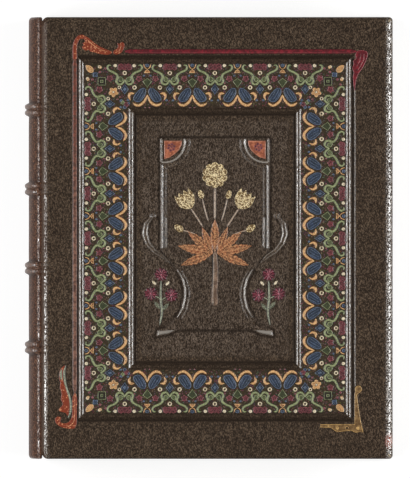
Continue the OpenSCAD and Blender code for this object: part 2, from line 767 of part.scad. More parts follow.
// Lozenges in the middle of the repeats, and scrolling stems between them
module border_green() {
    color(leaf_green) border_onlay() {
        border(0) polygon([[0, -13.6], [-2.3, -16.6], [0, -20], [2.3, -16.6]]);
        border(1) polygon(strip(
            [[-11.1, -5.4], [-11.6, -7.9], [-7, -11], [-5.3, -15.8], [-3.6, -17.6], [0, -15.4], [3.6, -17.6],
                [5.3, -15.8], [7, -11], [11.6, -7.9], [11.1, -5.4]], 1.1
        ));
        border_corners() translate([15.8, 15.8]) difference() {
            square(5.2, center = true);
            square(3.4, center = true);
        }
    }
}

module border_maroon() {
    color(maroon) border_onlay() {
        border(0) both_halves() translate([-4.2, -13.4]) circle(r = 1.6, $fn = 6);
        border(1) polygon([[0, -4], [-2.9, -5.4], [-2.2, -8.2], [0, -7.2], [2.2, -8.2], [2.9, -5.4]]);
        border_corners() swapped() translate([21.5, 14.2]) square([1.6, 4.4], center = true);
    }
}

module border_cream() {
    color(cream) border_onlay() {
        border(0) both_halves() translate([-8.7, -20.2]) circle(r = 1.5, $fn = 6);
        border(1) translate([0, -10.4]) circle(r = 1.6, $fn = 6);
        border(1) both_halves() translate([-6.4, -5.6]) circle(r = 1.1, $fn = 6);
        border_corners() swapped() translate([14.4, 6.2]) circle(r = 1.1, $fn = 6);
    }
}

// The spray is drawn from the middle of the panel, and the sprigs beside the waist of the cartouche
module in_panel() {
    onlay(plaque_z) translate([frame_cx, frame_cy]) children();
}

module spray_blooms() {
    color(gold) in_panel() {
        translate([0, 43]) polygon(flower(8.6, 0.9, 10, 40));
        both_halves() {
            translate([-19.5, 26]) rotate(32) polygon(mirrored([
                [-1.2, -6.6], [-5.2, -3.4], [-6.6, 1.8], [-5.8, 6.4], [-3.6, 3.2], [-2, 6.8]
            ]));
            translate([-24.5, 7]) rotate(58) polygon(mirrored([[-0.8, -3.6], [-2.4, -1], [-1.6, 2.6]]));
            translate([-9.5, 30]) rotate(20) polygon(mirrored([[-0.7, -3.2], [-2, -0.6], [-1.2, 2.4]]));
        }
    }
}

module spray_leaves() {
    color(russet) in_panel() {
        for (a = [-21, 12, 42, 68]) both_halves() polygon(moved(leaf(a > 60 ? 19 : 23, 6, 180 - a), [-1.6, -10]));
        polygon(moved(leaf(21, 5.6, 90), [0, -8]));
    }
}

module spray_stems() {
    color(stem_tan) in_panel() {
        polygon(strip([[0, -12], [0.4, -24], [-0.3, -36], [0, -45]], [2.8, 3.6, 3.8, 4.6]));
        polygon(strip([[0, 14], [0, 24], [0, 33.6]], 1.5));
        both_halves() {
            polygon(strip([[-9.4, 9.4], [-12.6, 14.4], [-15.9, 19.8]], 1.3));
            polygon(strip([[-5, 12.6], [-6.6, 19], [-8.3, 26.4]], 0.9));
        }
    }
}

// Draws its children beside both sides of the waist, on the panel
module beside_waist() {
    onlay(onlay_z) translate([frame_cx, frame_cy]) both_halves() children();
}

module sprig_blossoms() {
    color(maroon) beside_waist() {
        for (p = [[-36.5, -24.5], [-43.4, -37.5], [-29.6, -38.5]]) translate(p) polygon(flower(3, 0.8, 5, 20));
    }
}

module sprig_buds() {
    color(cream) beside_waist() {
        for (p = [[-41.2, -30.2, 40], [-32.2, -30.6, -40]]) translate([p[0], p[1]]) rotate(p[2])
            polygon([[0, -1.6], [0.8, -0.4], [0.6, 1.2], [0, 1.8], [-0.6, 1.2], [-0.8, -0.4]]);
    }
}

module sprig_stems() {
    color(leaf_green) beside_waist() {
        polygon(strip([[-37.4, -58.4], [-36, -50], [-36.8, -40], [-36.5, -29.4]], 1.2));
        polygon(moved(leaf(6.4, 2.4, 128), [-37.4, -48]));
        polygon(moved(leaf(6.4, 2.4, 48), [-35.4, -49]));
    }
}

text_block();
front_flyleaf();
back_flyleaf();
spine_linings();
headband();
tailband();
sewing_cord_1();
sewing_cord_2();
sewing_cord_3();
sewing_cord_4();
spine_leather();
front_board();
front_slips();
front_leather();
front_pastedown();
back_board();
back_slips();
back_leather();
back_pastedown();
fillet_left();
fillet_top();
scroll_top_left();
leaf_bottom_left();
drop_top_right();
corner_bottom_right();
corner_plate_left();
corner_plate_right();
border_ochre();
border_blue();
border_green();
border_maroon();
border_cream();
spray_blooms();
spray_leaves();
spray_stems();
sprig_blossoms();
sprig_buds();
sprig_stems();
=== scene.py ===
import math
import bpy
import numpy as np
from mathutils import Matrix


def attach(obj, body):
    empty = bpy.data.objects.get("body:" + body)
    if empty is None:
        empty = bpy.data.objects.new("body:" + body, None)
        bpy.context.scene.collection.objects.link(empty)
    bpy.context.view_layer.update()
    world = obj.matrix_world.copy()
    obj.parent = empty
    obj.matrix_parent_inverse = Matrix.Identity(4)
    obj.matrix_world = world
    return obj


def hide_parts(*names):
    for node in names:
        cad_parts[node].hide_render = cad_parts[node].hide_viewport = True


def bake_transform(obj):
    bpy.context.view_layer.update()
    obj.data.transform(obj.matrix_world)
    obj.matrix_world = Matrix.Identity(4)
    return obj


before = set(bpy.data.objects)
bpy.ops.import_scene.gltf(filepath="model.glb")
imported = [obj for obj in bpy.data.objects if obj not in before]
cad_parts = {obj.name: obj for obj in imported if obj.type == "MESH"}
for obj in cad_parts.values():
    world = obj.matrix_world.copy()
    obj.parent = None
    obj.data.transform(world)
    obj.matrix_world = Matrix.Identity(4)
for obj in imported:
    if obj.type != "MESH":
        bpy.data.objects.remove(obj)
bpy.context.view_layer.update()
mm = 0.001
bpy.context.scene.view_settings.view_transform = 'Standard'


def srgb(*seen):  # a colour as it looks on screen, 0 to 255
    return tuple(c / 12.92 if c <= 0.04045 else ((c + 0.055) / 1.055) ** 2.4 for c in np.array(seen) / 255) + (1,)


# small tools for meshes
def pickOnly(*obs):
    bpy.ops.object.select_all(action='DESELECT')
    for ob in obs:
        ob.select_set(True)
    if obs:
        bpy.context.view_layer.objects.active = obs[0]


def readPoints(ob):
    co = np.empty(len(ob.data.vertices) * 3)
    ob.data.vertices.foreach_get("co", co)
    return co.reshape(-1, 3)


def writePoints(ob, co):
    ob.data.vertices.foreach_set("co", np.ascontiguousarray(co, dtype=float).ravel())
    ob.data.update()


def writeTone(ob, values, name="tone"):  # one number a vertex, for the materials
    layer = ob.data.attributes.get(name) or ob.data.attributes.new(name, 'FLOAT', 'POINT')
    layer.data.foreach_set("value", np.ascontiguousarray(values, dtype=np.float32))


def editAll(ob, *steps):  # edit mode operators on the whole mesh
    pickOnly(ob)
    bpy.ops.object.mode_set(mode='EDIT')
    bpy.ops.mesh.select_all(action='SELECT')
    for step in steps:
        step()
    bpy.ops.object.mode_set(mode='OBJECT')


def editPoints(ob, chosen, step):  # an edit mode operator on the chosen points
    pickOnly(ob)
    bpy.context.tool_settings.mesh_select_mode = (True, False, False)
    bpy.ops.object.mode_set(mode='EDIT')
    bpy.ops.mesh.select_all(action='DESELECT')
    bpy.ops.object.mode_set(mode='OBJECT')
    ob.data.vertices.foreach_set("select", chosen)
    bpy.ops.object.mode_set(mode='EDIT')
    step()
    bpy.ops.object.mode_set(mode='OBJECT')


def facesOut():
    bpy.ops.mesh.normals_make_consistent(inside=False)


def thicken(ob, thick):  # gives a sheet its thickness, inwards
    sheet = ob.modifiers.new("thickness", 'SOLIDIFY')
    sheet.thickness, sheet.offset = thick * mm, -1
    bpy.ops.object.modifier_apply(modifier="thickness")


def gridPlaces(co):  # the column and row of each point of a grid whose lines are whole numbers
    return np.rint(co[:, 0]).astype(int), np.rint(co[:, 1]).astype(int)


def smoothOver(t):
    t = np.clip(t, 0, 1)
    return t * t * (3 - 2 * t)


def bell(distance, width):
    return np.exp(-(distance / width) ** 2)


def within(value, edge, width):  # 1 inside the edge, falling to 0 outside over a width
    return np.clip(edge - value / width, 0, 1)


def gridLines(stops, stepAt):  # places of the lines of a grid, closer where stepAt is small
    out = [stops[0]]
    for a, b in zip(stops, stops[1:]):
        fine = np.linspace(a, b, 600)
        load = np.concatenate([[0], np.cumsum(np.diff(fine) / stepAt((fine[1:] + fine[:-1]) / 2))])
        n = max(1, int(round(load[-1])))
        out += list(np.interp(np.linspace(0, load[-1], n + 1)[1:], load, fine))
    return np.array(out)


def addGrid(name, xs, ys):  # a primitive grid, its lines moved to xs and ys
    pickOnly()
    bpy.ops.mesh.primitive_grid_add(x_subdivisions=len(xs) - 1, y_subdivisions=len(ys) - 1, size=2)
    ob = bpy.context.object
    ob.name = ob.data.name = name
    co = readPoints(ob)
    i = np.rint((co[:, 0] + 1) / 2 * (len(xs) - 1)).astype(int)
    j = np.rint((co[:, 1] + 1) / 2 * (len(ys) - 1)).astype(int)
    co[:, 0], co[:, 1] = np.asarray(xs)[i], np.asarray(ys)[j]
    writePoints(ob, co)
    return ob


def wave(x, y, sizes, seed):  # a smooth unevenness from -1 to 1
    rng = np.random.default_rng(seed)
    out = np.zeros_like(x)
    for size in sizes:
        a, p = rng.uniform(0, 2 * math.pi, 2)
        out += np.sin((x * math.cos(a) + y * math.sin(a)) * 2 * math.pi / size + p)
    return out / len(sizes)


def giveMaterial(ob, material):
    ob.data.materials.clear()
    ob.data.materials.append(material)


def finishMesh(ob, material, body, slot, *nodes):
    pickOnly(ob)
    bpy.ops.object.shade_smooth()
    giveMaterial(ob, material)
    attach(ob, body)
    if nodes:
        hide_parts(*nodes)


# small tools for materials
def addNode(tree, kind, inputs=None, **settings):
    n = tree.nodes.new(kind)
    for key, value in settings.items():
        setattr(n, key, value)
    for key, value in (inputs or {}).items():
        if isinstance(value, bpy.types.NodeSocket):
            tree.links.new(value, n.inputs[key])
        else:
            n.inputs[key].default_value = value
    return n


def maths(tree, operation, a, b=0.5, clamp=False):
    return addNode(tree, 'ShaderNodeMath', {0: a, 1: b}, operation=operation, use_clamp=clamp).outputs[0]


def product(tree, a, b):
    return maths(tree, 'MULTIPLY', a, b)


def vectorMaths(tree, operation, inputs, out=0):
    return addNode(tree, 'ShaderNodeVectorMath', inputs, operation=operation).outputs[out]


def blendColours(tree, amount, a, b, mode='MIX'):
    return addNode(tree, 'ShaderNodeMix', {0: amount, 6: a, 7: b}, data_type='RGBA', blend_type=mode).outputs[2]


def remap(tree, value, lo, hi, outLo=0.0, outHi=1.0, soft=True):
    return addNode(tree, 'ShaderNodeMapRange', {0: value, 1: lo, 2: hi, 3: outLo, 4: outHi},
                   interpolation_type='SMOOTHSTEP' if soft else 'LINEAR').outputs[0]


def placeOf(tree, scale=(1, 1, 1), turn=0.0):
    here = addNode(tree, 'ShaderNodeTexCoord').outputs["Object"]
    return addNode(tree, 'ShaderNodeMapping', {"Vector": here, "Scale": scale, "Rotation": (0, 0, turn)}).outputs[0]


def noiseAt(tree, place, size, detail=3.0, rough=0.55, out=0):  # sizes in mm
    return addNode(tree, 'ShaderNodeTexNoise', {"Vector": place, "Scale": 1 / (size * mm), "Detail": detail,
                                               "Roughness": rough}).outputs[out]


def cellsAt(tree, place, size, feature='DISTANCE_TO_EDGE', out="Distance"):
    return addNode(tree, 'ShaderNodeTexVoronoi', {"Vector": place, "Scale": 1 / (size * mm)},
                   feature=feature).outputs[out]


def toneOf(tree, name="tone"):
    return addNode(tree, 'ShaderNodeAttribute', attribute_name=name).outputs["Fac"]


def startMaterial(name, roughness, specular):
    m = bpy.data.materials.new(name)
    m.use_nodes = True
    shader = m.node_tree.nodes["Principled BSDF"]
    shader.inputs["Roughness"].default_value = roughness
    shader.inputs["Specular IOR Level"].default_value = specular
    return m, m.node_tree, shader


def addBump(tree, shader, height, depth):  # depth in mm
    bump = addNode(tree, 'ShaderNodeBump', {"Height": height, "Distance": depth * mm, "Strength": 1.0})
    tree.links.new(bump.outputs[0], shader.inputs["Normal"])


leatherLook = {
    "cellSize": 1.15,  # mm across one pebble of the grain
    "stretch": 0.55,  # the grain runs along the height of the book
    "depth": 0.08,
    "roughness": 0.3,
    "polish": 0.16,  # how much smoother the rubbed crests are
    "specular": 0.1,
}
spineLook = {**leatherLook, "depth": 0.07, "roughness": 0.38, "polish": 0.26, "specular": 0.12}
coverLook = {
    "jointRed": srgb(88, 66, 54), "jointFrom": -0.1085, "jointTo": -0.1125,  # x in metres
    "ground": srgb(58, 50, 38), "dabs": srgb(120, 96, 70), "dabSize": 1.15,
    "spotAt": (0.1225, -0.0689), "spot": srgb(158, 92, 78),
}


def coverCoats(tree, flat, streak):  # the redder joint, the stippled ground of the border, a worn spot at the fore-edge
    c = coverLook
    x = addNode(tree, 'ShaderNodeSeparateXYZ', {0: flat}).outputs[0]
    dots = addNode(tree, 'ShaderNodeTexVoronoi', {"Vector": flat, "Scale": 1 / (c["dabSize"] * mm)})
    tint = blendColours(tree, 0.6, dots.outputs["Color"], c["dabs"])
    tint = blendColours(tree, 1.0, tint, srgb(190, 170, 150), 'MULTIPLY')
    mottle = blendColours(tree, remap(tree, dots.outputs["Distance"], 0.42, 0.22), c["ground"], tint)
    spot = addNode(tree, 'ShaderNodeMapping', {"Vector": flat, "Location": (-c["spotAt"][0], -c["spotAt"][1], 0),
                                               "Scale": (1, 0.5, 0)}).outputs[0]
    gone = remap(tree, vectorMaths(tree, 'LENGTH', {0: spot}, "Value"), 0.0034, 0.0012)
    return [(remap(tree, x, c["jointFrom"], c["jointTo"], 0.0, 0.6), c["jointRed"]),
            (product(tree, toneOf(tree, "ground"), 0.75), mottle),
            (product(tree, gone, remap(tree, streak, 0.3, 0.5, 0.4, 1.0)), c["spot"])]


def makeLeather(name, base, crackAndShade, paleWearAndSheen, look, extraCoats=None):
    m, tree, shader = startMaterial(name, look["roughness"], look["specular"])
    flat = placeOf(tree)
    grain = placeOf(tree, (1, look["stretch"], 1))
    shift = vectorMaths(tree, 'SUBTRACT', {0: noiseAt(tree, grain, 2.6, 2.0, 0.5, "Color"), 1: (0.5, 0.5, 0.5)})
    shift = vectorMaths(tree, 'SCALE', {0: shift, "Scale": 2.2 * mm})
    grain = vectorMaths(tree, 'ADD', {0: grain, 1: shift})
    cells = remap(tree, cellsAt(tree, grain, look["cellSize"]), 0.0, 0.3)
    fine = remap(tree, cellsAt(tree, grain, look["cellSize"] * 0.4), 0.0, 0.3)
    streak = noiseAt(tree, placeOf(tree, (1, 0.3, 1)), 1.3, 4.0, 0.65)
    patch = noiseAt(tree, flat, 22, 5.0, 0.62)
    speck = noiseAt(tree, placeOf(tree, (1, 0.62, 1)), 0.74, 1.0, 0.5)
    height = maths(tree, 'ADD', product(tree, cells, 0.55), product(tree, fine, 0.12))
    height = maths(tree, 'ADD', height, product(tree, speck, 0.9))
    # rubbed wear and painted highlight, set on the points: edges broken by the grain, and lines, which are below 0
    # where they are tooled or carry painted shade
    edge = product(tree, toneOf(tree, "edge"), remap(tree, speck, 0.38, 0.56, 0.05, 1.0))
    line = toneOf(tree)
    tone = maths(tree, 'MAXIMUM', line, edge)
    calm = product(tree, remap(tree, tone, 0.76, 0.96, 1.0, 0.08), remap(tree, tone, 0.05, 0.6, 1.0, 2.2))
    addBump(tree, shader, product(tree, height, calm), look["depth"])
    high = product(tree, cells, remap(tree, streak, 0.36, 0.6, 0.25, 1.0))
    pale = product(tree, remap(tree, speck, 0.48, 0.7), remap(tree, patch, 0.3, 0.7, 0.5, 1.0))
    # the sharper grain of the middle panel, with light flecks, light hairs and dark creases
    sharp = product(tree, toneOf(tree, "sharp"), remap(tree, tone, 0.05, 0.35, 1.0, 0.0))
    light = noiseAt(tree, placeOf(tree, (1, 0.5, 1), 0.12), 0.66, 1.0, 0.5)
    fold = maths(tree, 'SUBTRACT', noiseAt(tree, placeOf(tree, (1, 0.36, 1), 0.08), 1.6, 2.0, 0.6), 0.5)
    crease = product(tree, remap(tree, fold, 0.02, 0.05), remap(tree, fold, 0.1, 0.05))
    hair = remap(tree, maths(tree, 'ABSOLUTE', fold), 0.04, 0.005)
    wearAndSheen = product(tree, remap(tree, tone, 0.05, 1.0, 0.0, 0.6, False), remap(tree, speck, 0.4, 0.6, 0.2, 1.0))
    coats = [  # how much of a colour, and the colour, from the ground up
        (product(tree, pale, 0.7), paleWearAndSheen),
        (remap(tree, speck, 0.44, 0.3, 0.0, 0.5), crackAndShade),
        (product(tree, sharp, 0.36), crackAndShade),
        (product(tree, sharp, remap(tree, light, 0.52, 0.64, 0.0, 0.6)), srgb(112, 97, 84)),
        (product(tree, sharp, remap(tree, light, 0.53, 0.4, 0.1, 0.85)), crackAndShade),
        (product(tree, sharp, product(tree, hair, 0.6)), srgb(136, 120, 106)),
        (product(tree, crease, remap(tree, sharp, 0.0, 1.0, 0.3, 0.6)), crackAndShade),
        *(extraCoats(tree, flat, streak) if extraCoats else []),
        # paler where edges, beads and crests take the lights: painted highlight, with some rubbed wear
        (wearAndSheen, paleWearAndSheen),
        # the brightest crests and edges nearly white: painted highlight
        (remap(tree, tone, 0.9, 1.0, 0.0, 0.75), srgb(160, 153, 144)),
        # below 0 the dark grain colour: tooled lines, and painted shade in grooves, along the level mouldings and round
        # the cartouche
        (remap(tree, line, -0.05, -1.0, 0.0, 0.9, False), crackAndShade),
    ]
    colour = blendColours(tree, high, crackAndShade, base)
    for amount, tint in coats:
        colour = blendColours(tree, amount, colour, tint)
    tree.links.new(colour, shader.inputs["Base Color"])
    rough = look["roughness"]
    rough = remap(tree, product(tree, high, streak), 0.1, 0.55, rough + 0.12, rough - 0.04)
    rough = maths(tree, 'SUBTRACT', rough, remap(tree, tone, 0.1, 0.9, 0.0, look["polish"]), True)
    tree.links.new(rough, shader.inputs["Roughness"])
    tree.links.new(remap(tree, tone, 0.05, 0.9, look["specular"], 1.0), shader.inputs["Specular IOR Level"])
    return m


coverLeather = makeLeather("coverLeather", srgb(93, 77, 62), srgb(39, 31, 25), srgb(116, 99, 82), leatherLook,
                           coverCoats)
spineLeather = makeLeather("spineLeather", srgb(86, 52, 34), srgb(42, 26, 19), srgb(128, 92, 70), spineLook)
print("stage: leather ready")

# camera, lights and floor
studio = {
    "lens": 1000, "look": (-2.41, -0.68), "top": 44, "height": 324.4,  # mm of the picture's height at the cover
    "sideLight": 20.5, "leftExtra": 1.08, "elevation": 29, "reach": 1.5, "strip": (0.26, 1.1), "sky": 0.12,
}


def buildStudio():
    data = bpy.data.cameras.new("camera")
    data.lens, data.sensor_width, data.sensor_fit = studio["lens"], 36, 'AUTO'
    data.clip_start, data.clip_end = 0.1, 500
    eye = bpy.data.objects.new("camera", data)
    bpy.context.scene.collection.objects.link(eye)
    away = studio["height"] * mm * studio["lens"] / 36
    eye.location = (studio["look"][0] * mm, studio["look"][1] * mm, studio["top"] * mm + away)
    bpy.context.scene.camera = eye
    for side, extra in ((-1, studio["leftExtra"]), (1, 1.0)):  # a long strip on the left and on the right
        lamp = bpy.data.lights.new("strip", 'AREA')
        lamp.shape, lamp.size, lamp.size_y = 'RECTANGLE', studio["strip"][0], studio["strip"][1]
        lamp.energy = studio["sideLight"] * extra
        ob = bpy.data.objects.new("strip", lamp)
        bpy.context.scene.collection.objects.link(ob)
        up = math.radians(studio["elevation"])
        ob.location = (side * studio["reach"] * math.cos(up), 0, studio["reach"] * math.sin(up) + 0.03)
        ob.rotation_euler = (0, side * (math.pi / 2 - up), 0)
    world = bpy.data.worlds.new("studio")
    bpy.context.scene.world = world
    world.use_nodes = True
    tree = world.node_tree
    seen = addNode(tree, 'ShaderNodeLightPath').outputs["Is Camera Ray"]
    back = tree.nodes["Background"]
    back.inputs["Color"].default_value = (1, 1, 1, 1)
    tree.links.new(remap(tree, seen, 0, 1, studio["sky"], 1.0, False), back.inputs["Strength"])
    pickOnly()
    bpy.ops.mesh.primitive_plane_add(size=160, location=(0, 0, -0.00005))
    floor = bpy.context.object
    floor.name = "floor"
    m = bpy.data.materials.new("paleFloor")
    m.use_nodes = True
    tree = m.node_tree
    tree.nodes.clear()
    path = addNode(tree, 'ShaderNodeLightPath')
    shown = maths(tree, 'MAXIMUM', path.outputs["Is Camera Ray"], path.outputs["Is Glossy Ray"])
    shown = maths(tree, 'MAXIMUM', shown, path.outputs["Is Transmission Ray"])
    plain = addNode(tree, 'ShaderNodeBsdfDiffuse', {"Color": (0.8, 0.8, 0.8, 1)}).outputs[0]
    soft = addNode(tree, 'ShaderNodeBsdfDiffuse', {"Color": (0.28, 0.28, 0.28, 1)}).outputs[0]
    glow = addNode(tree, 'ShaderNodeEmission', {"Color": (1, 1, 1, 1), "Strength": 0.8}).outputs[0]
    white = addNode(tree, 'ShaderNodeAddShader', {0: soft, 1: glow}).outputs[0]
    mixed = addNode(tree, 'ShaderNodeMixShader', {0: shown, 1: plain, 2: white}).outputs[0]
    out = addNode(tree, 'ShaderNodeOutputMaterial')
    tree.links.new(mixed, out.inputs["Surface"])
    floor.data.materials.append(m)


buildStudio()
print("stage: camera, lights and floor ready")

# the covers' leather; every size in mm
cover = {
    "jointX": -113.0, "foreX": 125.0, "half": 150.0, "topZ": 44.0,
    "cushion": 7.0, "jointRound": 4.5, "roundHeight": 3.4, "cornerR": 2.6, "backCornerR": 4.0,
    "thick": 5.0, "turnIn": 14.0, "edgeR": 0.8,
    "uneven": 0.05, "waves": (23, 37, 51, 17),  # slight waves in the leather: their height and lengths
}
rail = {
    "centre": (4.3, -0.3), "half": (92.4, 122.5), "width": 37.3, "bead": 3.6, "beadRise": 1.5, "bandRise": 0.6,
    "groove": 0.4, "grooveWidth": 2.2, "lineX": 99.3, "lineY": (-102.0, 101.0),
    "opening": (53.1, 83.2),  # half of the part that is the middle panel's own mesh
}
bandY = [-74.3, -20.5, 33.3, 87.1]
cordPitch = 4.2


def edgeLines(start, width, count):  # lines that crowd towards a rounded edge
    return [start + width * (1 - math.cos(math.radians(90 * k / count))) for k in range(count + 1)]


def coverLines(stops, stepAt, half, first, last):  # a row of grid lines, crowded at both rounded edges
    c = cover
    low, high = (-c["half"], c["half"]) if half else (c["jointX"], c["foreX"])
    widths = (c["cushion"] if half else c["jointRound"], c["cushion"])
    middle = gridLines([low + widths[0]] + stops + [high - widths[1]], stepAt)
    return np.concatenate([edgeLines(low, widths[0], first)[:-1], middle, edgeLines(high, -widths[1], last)[::-1][1:]])


def coverEdge(x, y):  # how far a point is from the nearest edge of a cover
    return np.minimum(np.minimum(x - cover["jointX"], cover["foreX"] - x), cover["half"] - np.abs(y))


def near(v, places, inner, fine, coarse):
    d = np.min([np.abs(v - p) for p in places], axis=0)
    return np.where(d < inner, fine, np.minimum(coarse, fine + (d - inner) * 0.5))


def coverDrop(x, y):  # how far the rounded edges fall below the cover's face
    c = cover
    ux = np.where(x < 0, 1 - (x - c["jointX"]) / c["jointRound"], 1 - (c["foreX"] - x) / c["cushion"])
    uy = 1 - (c["half"] - np.abs(y)) / c["cushion"]
    ux, uy = np.clip(ux, 0, 1), np.clip(uy, 0, 1)
    bow = np.where(x < 0, 1.75, 1.5)  # tighter at the joint, flatter at the fore-edge
    return c["roundHeight"] * (1 - (1 - ux ** bow) ** (1 / bow) * np.sqrt(1 - uy * uy))


def frameRelief(x, y):  # height and tone of the frame's mouldings
    r = rail
    fromX, fromY = (h - np.abs(v - c) for v, c, h in zip((x, y), r["centre"], r["half"]))
    u, upright = np.minimum(fromX, fromY), fromX < fromY  # upright mouldings catch the light of the sides
    w, b = r["width"], r["bead"] / 2
    z = np.where((u > b) & (u < w - b), r["bandRise"], 0.0)
    tone = np.zeros_like(z)
    for c in (b, w - b):
        d = np.abs(u - c)
        z = np.maximum(z, r["beadRise"] * np.interp(d, [0, 0.25, 0.5, 1.42, 1.62, b], [1, 0.99, 0.94, 0.56, 0.36, 0]))
        # the upright beads' flanks lighter and glossier, a painted highlight; the level beads darker, painted shade
        glossAndHighlight = np.interp(d, [0, 0.25, 0.6, 1.5, b], [-0.2, 0, 0.86, 0.86, 0])
        tone = tone + np.where(upright, glossAndHighlight, -0.4 * (d < b))
    out, inside = r["grooveWidth"] / 2, 2 * b + 0.8
    for c, s in ((-out, 1.0), (w + out, 1.0), (inside, 0.35), (w - inside, 0.35)):
        # tooled grooves, darkened more along the level sides: painted shade
        s = s * np.where(upright, 0.8, 1.3)
        g = bell(u - c, r["grooveWidth"] * 0.42)
        z = z - s * r["groove"] * g * (np.abs(u - c) < 2.4)
        tone = tone - s * 0.9 * g
    # the thin raised line by the right rail, pale and glossy on its crest: painted highlight
    ends = smoothOver((r["lineY"][1] - y) / 2) * smoothOver((y - r["lineY"][0]) / 2)
    line = bell(x - r["lineX"], 0.42) * ends
    return z + 0.45 * line, tone + 0.95 * line, u


def slipRelief(x, y):  # swells over the laced cord ends
    along = np.clip(1 - (x + 108.5) / 8.0, 0, 1)
    rise = np.zeros_like(x)
    for yc in [b + s * cordPitch / 2 for b in bandY for s in (-1, 1)]:
        d = np.minimum(np.abs(y - yc) / (1.0 + 1.15 * along), 1)
        rise = np.maximum(rise, np.cos(d * math.pi / 2) ** 1.3)
    return 0.62 * smoothOver(along * 1.15) * rise, rise * along


def roundCorners(x, y):  # squares of the plan's corners become quarter rounds
    for sx, cx, r in ((-1, cover["jointX"], cover["backCornerR"]), (1, cover["foreX"], cover["cornerR"])):
        for sy in (-1, 1):
            a = (sx * (x - cx) + r) / r
            b = (sy * y - cover["half"] + r) / r
            hit = (a > 0) & (b > 0)
            a2, b2 = a * np.sqrt(np.clip(1 - b * b / 2, 0, 1)), b * np.sqrt(np.clip(1 - a * a / 2, 0, 1))
            x = np.where(hit, cx + sx * (a2 * r - r), x)
            y = np.where(hit, sy * (cover["half"] - r + b2 * r), y)
    return x, y


def turnEdges(ob):  # the leather round the board's edges, turned in on three sides
    c = cover
    pickOnly(ob)
    bpy.ops.object.mode_set(mode='EDIT')
    bpy.context.tool_settings.mesh_select_mode = (False, True, False)
    bpy.ops.mesh.select_all(action='DESELECT')
    bpy.ops.mesh.select_non_manifold(extend=False, use_wire=False, use_multi_face=False, use_non_contiguous=False,
                                     use_verts=False)
    low, r = c["topZ"] - c["thick"], c["edgeR"]
    wide, high = c["foreX"] - c["jointX"], 2 * c["half"]
    steps = [(r * (1 - math.cos(math.radians(a))), low + r * (1 - math.sin(math.radians(a)))) for a in (0, 30, 60, 90)]
    steps += [(c["turnIn"] - 0.3, low), (c["turnIn"], low + 0.12), (c["turnIn"], low + 0.45)]
    last, z = 0.0, c["topZ"] - c["roundHeight"]
    for inset, level in steps:
        bpy.ops.mesh.extrude_edges_move(TRANSFORM_OT_translate={"value": (0, 0, (level - z) * mm)})
        if inset > last:
            scale = ((wide - inset) / (wide - last), (high - 2 * inset) / (high - 2 * last), 1)
            bpy.ops.transform.resize(value=scale, center_override=(c["jointX"] * mm, 0, 0))
        last, z = inset, level
    bpy.ops.object.mode_set(mode='OBJECT')
    co = readPoints(ob)
    wall = (co[:, 0] < (c["jointX"] + 0.05) * mm) & (np.abs(co[:, 1]) < (c["half"] - c["turnIn"]) * mm)
    co[wall, 2] = np.maximum(co[wall, 2], (low + 1.2) * mm)  # room for the paper of the joint
    writePoints(ob, co)


def buildFrontLeather():
    r = rail
    (cx, cy), (wide, high) = r["centre"], r["half"]

    def beadLines(middle, half):  # where the beads' crests lie
        return [middle + k * (half - u) for k in (-1, 1) for u in (1.2, r["width"] - 1.2)]

    beadX, beadY = beadLines(cx, wide), beadLines(cy, high)

    def stepY(v):
        slips = np.min([np.abs(v - b) for b in bandY], axis=0)
        atSlips = np.where(slips < 5, 0.6, np.minimum(2.4, 0.6 + (slips - 5) * 0.6))
        return np.minimum(near(v, beadY, 3.2, 0.42, 2.4), atSlips)

    w = r["width"] + 2
    xs = coverLines([cx - wide, cx - wide + w, cx + wide - w, cx + wide],
                    lambda v: near(v, beadX + [r["lineX"]], 2.6, 0.3, 2.2), False, 9, 12)
    ys = coverLines([cy - high, cy - high + w, cy + high - w, cy + high], stepY, True, 12, 12)
    ob = addGrid("frontLeather", xs, ys)
    co = readPoints(ob)
    x, y = co[:, 0].copy(), co[:, 1].copy()
    z, tone, u = frameRelief(x, y)
    swell, ridge = slipRelief(x, y)
    edge = coverEdge(x, y)
    uneven = cover["uneven"] * wave(x, y, cover["waves"], 4) * smoothOver((edge - 2) / 8)
    px, py = roundCorners(x, y)
    writePoints(ob, np.column_stack([px, py, cover["topZ"] + z + swell - coverDrop(x, y) + uneven]) * mm)
    writeTone(ob, tone + 0.35 * ridge)
    # painted highlight on the rounded edges where the side lights glance, with some rubbed wear: most at the fore-edge
    # and the joint, and towards the tail
    wearAndSheen = 0.2 * within(np.abs(edge - 1.6), 1, 2.2)
    wearAndSheen = np.where(cover["foreX"] - x < 5, 1.35 * within(np.abs(edge - 2.4), 1.3, 2.8), wearAndSheen)
    wearAndSheen = np.where(x - cover["jointX"] < 5, 1.05 * within(np.abs(edge - 2.2), 1.3, 1.9), wearAndSheen)
    much = np.interp(y, [-150, -140, -86, -40, 60, 150], [0.9, 1.4, 1.35, 0.95, 0.65, 0.3])
    much = np.where(x > 0, np.interp(y, [-150, 150], [1.1, 0.8]), much) * (0.9 + 0.25 * wave(y, x, (6, 9, 13, 29), 6))
    writeTone(ob, wearAndSheen * np.where(np.abs(x) > 100, much, 1), "edge")
    writeTone(ob, smoothOver(u - 3.6) * smoothOver(r["width"] - 3.6 - u), "ground")
    hole = (np.abs(x - cx) < r["opening"][0] - 0.05) & (np.abs(y - cy) < r["opening"][1] - 0.05)
    editPoints(ob, hole, lambda: bpy.ops.mesh.delete(type='VERT'))
    return ob


def segmentNearest(x, y, path):  # distance to a path, and how far along it, counted in its points
    best = np.full(x.shape, 1e9)
    along = np.zeros_like(x)
    for k, (p, q) in enumerate(zip(path, path[1:])):
        dx, dy = q[0] - p[0], q[1] - p[1]
        t = np.clip(((x - p[0]) * dx + (y - p[1]) * dy) / (dx * dx + dy * dy), 0, 1)
        d = np.hypot(x - p[0] - t * dx, y - p[1] - t * dy)
        along = np.where(d < best, k + t, along)
        best = np.minimum(best, d)
    return best, along


